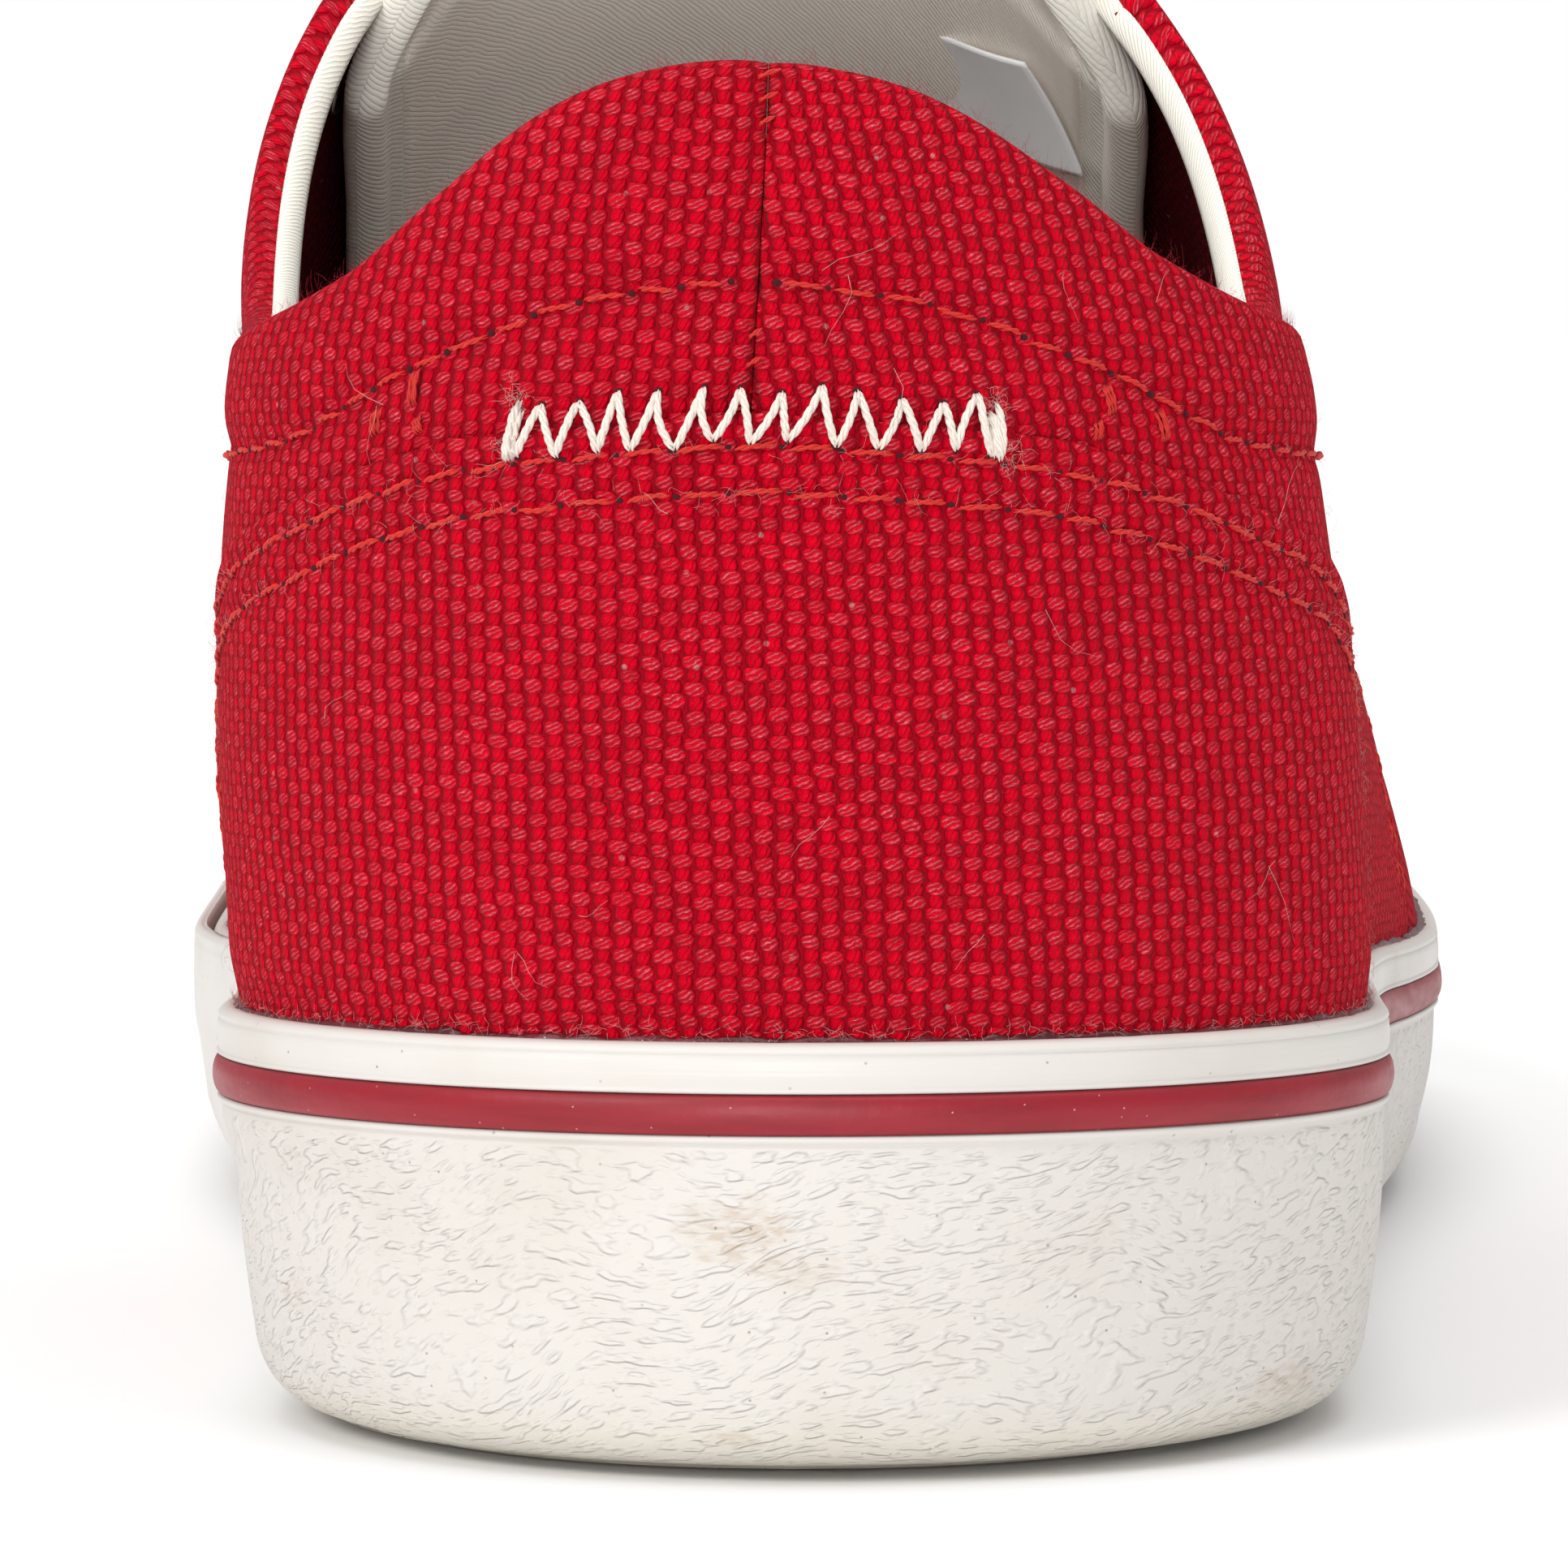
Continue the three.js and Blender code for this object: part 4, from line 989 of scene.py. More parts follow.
@dataclass(frozen=True)
class PlainRubber(Finish):
    """Smooth moulded rubber, glossy or dull."""

    body: Colour
    shade: Colour
    roughness: float
    coat: float = 0.0
    dust: Colour = srgb(225, 190, 190)
    dust_amount: float = 0.25
    depth: float = 0.05

    def paint(self, g: Graph, cloth: Signal, effects: Effects) -> None:
        """Feeds the shader."""
        mottle = g.stretched(*g.split(cloth), 0.12, 0.8, 3.0)
        colour = g.mix(g.step(mottle, 0.35, 0.75), self.body, self.shade)
        dust = g.group(effects.specks, Cloth=cloth, Spacing=1.5, Size=0.05, Amount=self.dust_amount)
        colour = g.mix(g.read(dust) * 0.75, colour, self.dust)
        rough = g.step(mottle, 0.2, 0.8, self.roughness, self.roughness + 0.14)
        g.dress(colour, rough, g.noise(cloth, 0.9, 3.0), self.depth,
                Coat_Weight=self.coat, Coat_Roughness=0.2)


@dataclass(frozen=True)
class LaceCotton(Finish):
    """Flat braided cotton."""

    body: Colour
    # gap: colour of the painted shade in the braid's low parts, also used for its random tone.
    gap: Colour

    def paint(self, g: Graph, cloth: Signal, effects: Effects) -> None:
        """Feeds the shader."""
        u, v = g.split(cloth)
        braid = abs(g.wave(u / 1.15 + abs(v) * 0.62))
        height = braid**0.6 * (0.6 + abs(g.wave(v * 1.25)) * 0.4)
        # Painted shade: the gap colour darkens the braid where it is low; the mix below is random tone.
        colour = g.mix(g.step(height, 0.5, 0.1, 0.0, 0.7), self.body, self.gap)
        colour = g.mix(g.noise(cloth, 0.1, 3.0) * 0.4, colour, self.gap)
        g.dress(colour, g.step(height, 0.0, 1.0, 0.95, 0.8), height, 0.22, Sheen_Weight=0.2)


@dataclass(frozen=True)
class EyeletMetal(Finish):
    """Rolled metal with fine wear."""

    body: Colour = srgb(214, 212, 206)
    wear: Colour = srgb(170, 166, 158)

    def paint(self, g: Graph, cloth: Signal, effects: Effects) -> None:
        """Feeds the shader."""
        worn = g.noise(cloth, 1.8, 4.0)
        colour = g.mix(g.step(worn, 0.5, 0.75), self.body, self.wear)
        g.dress(colour, g.step(worn, 0.2, 0.8, 0.22, 0.4), worn, 0.02, Metallic=1.0)


class Look(Enum):
    """Every finish of the shoe."""

    CANVAS = Canvas("red canvas", srgb(238, 0, 38), srgb(116, 0, 16), srgb(255, 118, 134))
    # A darker copy of the red canvas for the shoe's inside: the red back of the canvas, darkened as painted
    # shade.
    CANVAS_INSIDE_SHADED = Canvas("red canvas inside shaded", srgb(120, 6, 22), srgb(48, 0, 8), srgb(160, 30, 46))
    EDGING = Twill("cream edging", srgb(250, 246, 234), srgb(216, 206, 186), 0.4, 0.05)
    TONGUE = Twill("cream twill", srgb(252, 248, 238), srgb(226, 218, 200), 0.72, 0.06, sheen=0.0)
    LINING = Twill("warm grey lining", srgb(255, 246, 236), srgb(234, 220, 206), 0.5, 0.05, 0.7, 0.0)
    FOOTBED = Twill("footbed cloth", srgb(226, 220, 206), srgb(180, 170, 152), 0.5)
    TAG = Twill("white satin", srgb(255, 255, 255), srgb(240, 240, 242), 0.22, 0.015, sheen=0.0)
    RED_THREAD = Thread("red thread", srgb(236, 50, 34), srgb(186, 18, 18), 0.5, sheen=0.1)
    WHITE_THREAD = Thread("cream thread", srgb(252, 244, 234), srgb(222, 206, 192), 0.5)
    RED_FIBRE = Thread("red fibre", srgb(210, 40, 60), srgb(168, 14, 34), 0.7, sheen=0.1)
    PALE_FIBRE = Thread("pale fibre", srgb(240, 196, 190), srgb(214, 150, 146), 0.7)
    # Painted shade: dark discs where the needle pierced the cloth.
    HOLE_SHADE = PlainRubber("needle hole shade", srgb(74, 2, 12), srgb(52, 0, 8), 0.95, dust_amount=0.0)
    WALL = WallRubber("white sidewall rubber")
    BUMPER = WallRubber("white bumper rubber", grained=False)
    TREAD = PlainRubber("tread rubber", srgb(232, 224, 208), srgb(214, 204, 184), 0.6,
                        dust=srgb(120, 104, 90), depth=0.12)
    STRIPE = PlainRubber("red stripe rubber", srgb(150, 13, 34), srgb(134, 9, 26), 0.4, coat=0.04)
    GLUE = PlainRubber("glue line", srgb(78, 8, 18), srgb(116, 24, 36), 0.35, coat=0.2,
                       dust=srgb(230, 214, 214), dust_amount=0.6, depth=0.3)
    LACE = LaceCotton("cream lace", srgb(242, 236, 222), srgb(196, 184, 162))
    METAL = EyeletMetal("eyelet metal")


# ---------------------------------------------------------------- the shoe's parts


@dataclass
class Shoe:
    """What every sub-assembly needs to know."""

    last: Last
    map: Unrolled
    place: Placement
    materials: dict[Look, Material]


@dataclass
class Part:
    """A sub-assembly shaped on the last."""

    shoe: Shoe

    @property
    def last(self) -> Last:
        """The last."""
        return self.shoe.last

    @property
    def map(self) -> Unrolled:
        """Cloth coordinates on the last."""
        return self.shoe.map

    def piece(self, made: Shape, name: str, look: Look, slot: str, merge: float = 0.0) -> Object:
        """Makes an object of a shape.

        Args:
            made: The shape.
            name: Name of the piece.
            look: Its finish.
            slot: The record's material slot; not used.
            merge: Distance in millimetres within which vertices join.

        Returns:
            The new object.
        """
        points = self.shoe.place.metres(np.concatenate(made.points))
        quads = np.concatenate(made.quads)
        cloth = np.concatenate(made.cloth)
        mesh = bpy.data.meshes.new(name)
        mesh.from_pydata(points, [], quads)
        layer = mesh.uv_layers.new(name=CLOTH)
        layer.data.foreach_set("uv", cloth[quads.ravel()].ravel())
        mesh.validate()
        bm = bmesh.new()
        bm.from_mesh(mesh)
        if merge > 0:
            bmesh.ops.remove_doubles(bm, verts=bm.verts, dist=merge * MM)
            bmesh.ops.dissolve_degenerate(bm, edges=bm.edges, dist=1e-7)
        bmesh.ops.recalc_face_normals(bm, faces=bm.faces)
        for face in bm.faces:
            face.smooth = True
        bm.to_mesh(mesh)
        bm.free()
        mesh.materials.append(self.shoe.materials[look])
        piece = bpy.data.objects.new(name, mesh)
        bpy.context.scene.collection.objects.link(piece)
        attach(piece, "root")
        log.info("%s: %d faces", name, len(mesh.polygons))
        return piece


def rounded(distance: Array, radius: float) -> Array:
    """Share of the half thickness left at a distance from a rounded edge."""
    e = np.clip(distance / radius, 0, 1)
    return np.sqrt(np.clip(1 - (1 - e) ** 2, 0, 1))


def tucked(grid: Array, drop: float) -> Array:
    """A grid of points with one more column, straight below its first."""
    return np.concatenate([grid[:, :1] - np.array([0.0, 0.0, drop]), grid], axis=1)


def side_slack(u: Array) -> Array:
    """How far the canvas stands off the last, growing from the heel to the vamp."""
    return 0.12 * smooth((np.abs(u) - 75) / 30) + 0.3 * smooth((np.abs(u) - 125) / 22)


def puckers(u: Array, b: Array, line: Array, depth: float, width: float, pitch: float) -> Array:
    """Trough along a row of stitches, deeper at each stitch."""
    trough = bell(gap_to(line, u, b), width)
    return -depth * trough * (0.75 + 0.25 * np.cos(2 * np.pi * u / pitch))


@dataclass
class HeelPanel(Part):
    """Half-moon panel over the back of the heel, with its folded top edge."""

    lift: float = 0.5
    thickness: float = 0.6
    rows: int = 64
    # half of the edge: length round from the centre back, height over the floor
    edge_rows: tuple[tuple[float, float], ...] = (
        (0, 63.9), (17, 62.4), (26, 60.4), (34, 57.9), (45, 54.6), (54, 49.8), (60, 43.5), (63.5, 35),
        (65, 25),
    )
    first_row: float = 1.9
    second_row: float = 4.6

    def __post_init__(self) -> None:
        """Lays the edge and the stitch rows out on the cloth."""
        curve = Curve(self.edge_rows)
        u = np.concatenate([np.linspace(0, 60, 241), np.linspace(60, 65, 160)[1:]])
        z = curve(u)
        b = np.maximum(self.map.at_height(u, z), 0.0)
        b[-1] = 0.0
        half = np.stack([u, b], -1)
        mirror = half[::-1] * np.array([-1.0, 1.0])
        mirror[:, 1] = np.maximum(self.map.at_height(mirror[:, 0], z[::-1]), 0.0)
        self.edge = resample(np.concatenate([mirror[:-1], half]), 0.7)

    def row(self, distance: float) -> Array:
        """A line at a distance inside the edge, from the medial joint to the lateral joint."""
        line = shifted(self.edge, distance)
        return line[(line[:, 1] > 1.5)]

    def cover(self, u: Array, b: Array) -> Array:
        """Height of the outermost cloth over the last, on the panel or beside it."""
        top = np.interp(u, self.edge[:, 0], self.edge[:, 1], left=-5, right=-5)
        return self.lift * smooth((top - b + 0.3) / 0.7) * (0.2 + 0.8 * smooth(b / 4.0))

    def build(self) -> Object:
        """Makes the panel."""
        line = self.edge
        share = 1 - clustered(0.0, 1.0, (0.006, 0.015, 0.03), self.rows)[::-1]
        share = np.sort(share)
        u = np.repeat(line[:, :1], len(share), axis=1)
        b = line[:, 1:2] * share[None, :]
        u = np.concatenate([u[:, :2], u], axis=1)
        b = np.concatenate([np.broadcast_to([-1.8, -0.8], (len(line), 2)), b], axis=1)
        away = gap_to(resample(line, 0.25), u, np.maximum(b, 0))
        round_edge = rounded(away, 0.5)
        fall = 0.15 + 0.85 * smooth(b / 4.0)
        lift = self.lift * fall
        lift = lift + 0.16 * bell(away - 0.9, 0.7) + 0.10 * bell(away - 3.2, 0.8)
        for offset, depth in ((self.first_row, 0.26), (self.second_row, 0.3)):
            lift = lift + puckers(u, b, self.row(offset), depth, 0.75, 3.3)
        lift = lift + 0.35 * bell(u + 36, 9) * bell(b - 16, 9) + 0.25 * bell(u - 38, 9) * bell(b - 15, 9)
        half = self.thickness / 2
        face = self.map.at(u, b, lift - half + half * round_edge)
        back = self.map.at(u, b, lift - half - half * round_edge)
        made = Shape()
        made.shell(face, back, np.stack([u, b], -1))
        return self.piece(made, "heel_panel", Look.CANVAS, "canvas", 0.01)


@dataclass
class Quarter(Part):
    """One side of the upper, from the centre-back seam to the vamp, with its rolled top edge."""

    heel: HeelPanel
    side: Side
    thickness: float = 1.0
    roll: float = 2.2
    roll_reach: float = 6.0
    roll_radius: float = 1.6
    front_foot: float = 148.0
    front_crest: float = 174.5
    columns: int = 190
    rows: int = 66
    grain_lean: float = 7.0
    hem: float = 1.8
    # length round from the centre back, height of the stitch row below the collar
    collar_row: tuple[tuple[float, float], ...] = (
        (0, 71.8), (7, 71.0), (12, 70.1), (18, 68.0), (23, 66.2), (28, 64.1), (34, 61.9), (45, 60.8),
        (60, 60.2), (80, 60.0),
    )
    throat_rows: tuple[float, ...] = (2.6, 14.0)
    front_rows: tuple[float, ...] = (1.8, 4.4)
    # round and up to the middle, width, length, lean in radians, depth
    creases: tuple[tuple[float, ...], ...] = (
        (70, 24, 3.2, 22, 0.35, -0.55), (92, 30, 2.8, 24, 0.55, -0.5), (112, 24, 3.4, 20, 0.5, -0.45),
        (80, 18, 4.0, 20, 0.45, 0.3), (102, 26, 4.0, 20, 0.5, 0.3), (128, 34, 3.0, 14, 0.3, -0.35),
        (52, 34, 4.5, 10, 0.2, -0.25),
    )

    def seam(self, z: Array) -> Array:
        """Length round at which the centre-back seam runs, by height."""
        return -0.1 + (np.asarray(z) - 65.3) * 0.109

    def collar_line(self) -> Array:
        """Stitch row below the collar, on to the corner of the eyestay."""
        sign = self.side.value
        s = np.linspace(60, 108, 90)
        u_far = self.last.around(self.last.angle_at(s, sign))
        b_far = self.map.edge(u_far) - 7.4
        u_near = np.linspace(0.8, abs(u_far[0]) - 8, 120)
        b_near = self.map.at_height(sign * u_near, Curve(self.collar_row)(u_near))
        line = np.concatenate([np.stack([sign * u_near, b_near], -1), np.stack([u_far, b_far], -1)])
        return resample(line, 0.5)

    def throat_line(self, inside: float) -> Array:
        """A line at a distance inside the throat's edge."""
        angle = self.last.angle_at(np.linspace(112.5, 169.0, 140), self.side.value)
        u = self.last.around(angle)
        return resample(np.stack([u, self.map.edge(u) - inside], -1), 0.5)

    def front_line(self, behind: float) -> Array:
        """A line behind the front edge."""
        r = np.linspace(0.03, 0.985, 160)
        angle = self.front_angle(r)
        v = self.last.edge(angle) * r
        u = self.last.around(angle)
        line = np.stack([u, self.map.arc(u, v)], -1)
        sign = self.side.value
        return resample(shifted(line, -behind * sign), 0.5)

    def front_angle(self, share: Array) -> Array:
        """Angle of the front edge at a share of its height."""
        station = self.front_foot + (self.front_crest - self.front_foot) * share**1.6
        return self.last.angle_at(station, self.side.value)

    def grid(self) -> tuple[Array, Array, Array, Array, Array]:
        """Angles, shares and the distances to the top, seam and front edges."""
        last, sign = self.last, self.side.value
        far = clustered(0.0, 58.0, (0.08, 0.22, 0.42, 0.7, 1.05, 1.5), self.rows)
        r = np.sort(far / 58.0)
        z = last.surface(np.zeros_like(r), last.edge(np.zeros(1))[0] * r)[:, 2]
        start = last.angle_around(self.seam(z) + sign * 0.015)
        stop = self.front_angle(r)
        c = clustered(0.0, 175.0, (0.06, 0.2, 0.4, 0.7, 1.0), self.columns) / 175.0
        angle = start[None, :] + (stop - start)[None, :] * c[:, None]
        v = last.edge(angle) * r[None, :]
        points = last.surface(angle, v)
        up, on = run_along(points, 1), run_along(points, 0)
        return angle, v, up[:, -1:] - up, on, on[-1:] - on

    def relief(self, u: Array, b: Array, top: Array, seam: Array) -> Array:
        """Height of the slack, the stitch rows, the puffed collar and the creases over the last."""
        sign, collar = self.side.value, self.collar_line()
        lift = side_slack(u) + puckers(u, b, collar, 0.34, 0.8, 3.3)
        over = b - np.interp(u * sign, collar[:, 0] * sign, collar[:, 1])
        lift = lift + 0.35 * smooth(top / 5.0) * smooth(gap_to(collar, u, b) / 3.0) * smooth(over / 1.5)
        for inside in self.throat_rows:
            lift = lift + puckers(u, b, self.throat_line(inside), 0.22, 0.7, 3.0)
        for behind in self.front_rows:
            lift = lift + puckers(u, b, self.front_line(behind), 0.2, 0.7, 3.0)
        for at_u, at_b, width, length, lean, depth in self.creases:
            du, db = u * sign - at_u, b - at_b
            across = du * math.cos(lean) - db * math.sin(lean)
            along = du * math.sin(lean) + db * math.cos(lean)
            lift = lift + depth * bell(across, width) * bell(along, length)
        lift = lift - 0.5 * bell(seam, 1.1)
        return lift * (0.2 + 0.8 * smooth(b / 3.0))

    def build(self) -> Object:
        """Makes the quarter."""
        last, sign = self.last, self.side.value
        angle, v, top, seam, front = self.grid()
        u = last.around(angle)
        b = self.map.arc(u, v)
        folded = np.minimum(rounded(seam, 0.75), rounded(front, 0.5))
        thick = self.thickness + self.roll * (1 - smooth(top / self.roll_reach))
        half = thick / 2 * rounded(top, self.roll_radius) * (0.04 + 0.96 * folded)
        middle = self.relief(u, b, top, seam) - thick / 2
        face = tucked(last.at(angle, v, middle + half), self.hem)
        back = tucked(last.at(angle, v, middle - half), self.hem)
        turn = sign * math.tan(math.radians(self.grain_lean)) * (1 - smooth((u * sign - 30) / 40))
        around = u + (b - 40) * turn
        around = np.concatenate([around[:, :1], around], axis=1)
        up, inside = run_along(face, 1) - self.hem, run_along(back, 1)
        folded_in = up[:, -1:] + inside[:, -1:] - inside
        made = Shape()
        made.shell(face, back, np.stack([around, up], -1), np.stack([around, folded_in], -1))
        return self.piece(made, f"quarter_{self.side.name.lower()}", Look.CANVAS, "canvas", 0.004)

    def edging(self) -> Object:
        """Makes the cream edging, over the roll and down inside the collar, from heel to corner."""
        s = np.concatenate([np.linspace(0.35, 12, 34), np.linspace(12.8, 118, 130)])
        u = self.last.around(self.last.angle_at(s, self.side.value))[:, None]
        # angle round the roll, further down behind the heel's peak
        start = 8.0 + 32.0 * (1 - smooth((s - 5) / 16))
        share = np.array([0.0, 0.04, 0.16, 0.35, 0.57, 0.78, 1.0])
        bend = np.radians(start[:, None] + (80.0 - start[:, None]) * share)
        # drop below the collar's edge
        low = np.array([1.8, 2.4, 3.2, 4.2, 5.2, 6.0, 6.5, 6.8]) + 0 * u
        thick = self.thickness + self.roll * (1 - smooth(low / self.roll_reach))
        lump = 0.12 * np.sin(u * 0.33) * bell(low - 3, 2.0) - 0.2 * bell(low - 4.6, 0.4)
        middle, bends = (self.thickness + self.roll) / 2, len(share)
        cut = np.array([0.0, 0.7] + [1.0] * 11 + [0.8, 0.0])[None, :]
        skins = []
        for skin in (0.42 * cut, 0.08 - 0.1 * cut):
            reach = self.roll_radius + skin[:, :bends]
            lift = np.concatenate([-middle - reach * np.sin(bend), -thick - skin[:, bends:] - lump], axis=1)
            down = np.concatenate([self.roll_radius - reach * np.cos(bend), low], axis=1)
            skins.append(self.map.at(u + 0 * down, self.map.edge(u) - down, lift))
        face, back = skins
        made = Shape()
        made.shell(face, back, np.stack([u + 0 * lift, run_along(face, 1)], -1))
        return self.piece(made, f"collar_edging_{self.side.name.lower()}", Look.EDGING, "cotton", 0.01)


@dataclass
class Vamp(Part):
    """The front of the upper, over the toes."""

    thickness: float = 0.9
    rear_foot: float = 140.0
    rear_crest: float = 174.2
    hem: float = 1.6
    columns: int = 130
    rows: int = 44
    # station of each toe crease, its lean, depth and width
    creases: tuple[tuple[float, ...], ...] = (
        (186, 0.10, 0.7, 3.4), (197, -0.06, 0.85, 3.8), (209, 0.05, 0.6, 3.6),
    )

    def build(self) -> Object:
        """Makes the vamp."""
        last = self.last
        r = clustered(0.0, 1.0, (0.01, 0.03), self.rows)
        c = np.linspace(0, 1, self.columns)
        rear = self.rear_foot + (self.rear_crest - self.rear_foot) * r**1.6
        halves = []
        for side in (Side.LATERAL, Side.MEDIAL):
            start = last.angle_at(rear, side.value)
            angle = start[None, :] + (side.value * math.pi * 0.9999 - start)[None, :] * c[:, None]
            v = last.edge(angle) * r[None, :]
            points = last.surface(angle, v)
            s = points[..., 1]
            crease = np.zeros_like(s)
            for at_s, lean, depth, width in self.creases:
                shift = s - at_s - lean * points[..., 0]
                crease = crease - depth * bell(shift, width) * smooth((v - 0.25) / 0.4)
                crease = crease + 0.45 * depth * bell(shift - 6.0, 3.2) * smooth((v - 0.2) / 0.4)
            tuck = 1 - smooth(np.abs(points[..., 2] - last.top(last.joint(angle)[1])) / 4.0)
            lift = crease * (1 - tuck) - 0.1 * tuck - 0.85 * (1 - smooth((s - rear[None, :] - 6) / 14.0))
            face = tucked(last.at(angle, v, lift), self.hem)
            back = tucked(last.at(angle, v, lift - self.thickness), self.hem)
            crest = last.surface(angle, np.ones_like(v))
            out = points[..., :2] - crest[..., :2]
            from_crest = run_along(points[:, ::-1], 1)[:, ::-1]
            cloth = np.stack([crest[..., 0], crest[..., 1] * 1.08], -1) + unit(out) * from_crest[..., None]
            halves.append((face, back, np.concatenate([cloth[:, :1], cloth], axis=1)))

        def joined(one: Array, other: Array) -> Array:
            """Two halves of a grid, which meet on the crest."""
            return np.concatenate([one[:, :-1], (one[:, -1:] + other[:, -1:]) / 2, other[:, -2::-1]], axis=1)

        face, back = (joined(halves[0][k], halves[1][k]) for k in (0, 1))
        cloth = np.concatenate([halves[0][2], halves[1][2][:, -2::-1]], axis=1)
        made = Shape()
        made.shell(face, back, cloth)
        return self.piece(made, "vamp", Look.CANVAS, "canvas", 0.02)


@dataclass
class InnerCloth(Part):
    """Inside of the upper, from below the collar's edging to the footbed, in a darker copy of the red canvas:
    the canvas's red back with painted shade for the inside of the shoe.
    """

    depth: float = 1.25
    thickness: float = 0.6
    columns: int = 300
    rows: int = 40

    def foot(self, angle: Array) -> tuple[Array, Array]:
        """Rows of the face and the back that run down and in to the footbed."""
        top = self.last.top(self.last.joint(angle)[1])
        face, back = [], []
        for share, tuck in ((0.95, 0.9), (0.6, 0.5), (0.28, 0.12)):
            for rows, out in ((face, -0.9), (back, -1.9)):
                x, s = self.last.joint(angle, out - 4.0 * tuck)
                ledge = self.last.edge_height(s) + 8.8
                rows.append(np.stack([x, s, top - (top - ledge) * share], -1))
        return np.stack(face, 1), np.stack(back, 1)

    def build(self) -> Object:
        """Makes the inner cloth."""
        last = self.last
        angle = np.linspace(-math.pi * 0.9999, math.pi * 0.9999, self.columns)
        u, station = last.around(angle), last.joint(angle)[1]
        total = self.map.edge(u)
        closed = (station >= last.THROAT_END)[:, None]
        r = np.linspace(0, 1, self.rows)[None, :]
        b = np.where(closed, total[:, None], total[:, None] - 4.6) * r
        around = np.repeat(u[:, None], self.rows, axis=1)
        v = np.where(closed, last.edge(angle)[:, None] * r, self.map.share(around, b))
        lift = -self.depth - (1 - smooth((total[:, None] - b - 3) / 7)) * (1 - closed)
        lift = lift - 0.75 * smooth((station - 160) / 12)[:, None]
        face, back = (last.at(angle[:, None] + 0 * v, v, lift - inner) for inner in (0.0, self.thickness))
        foot_face, foot_back = self.foot(angle)
        below = np.stack([around[:, :3], np.broadcast_to([-9.0, -6.0, -3.0], (len(u), 3))], -1)
        made = Shape()
        made.shell(
            np.concatenate([foot_face, face], axis=1),
            np.concatenate([foot_back, back], axis=1),
            np.concatenate([below, np.stack([around, b], -1)], axis=1),
        )
        return self.piece(made, "inner_cloth", Look.CANVAS_INSIDE_SHADED, "canvas", 0.01)


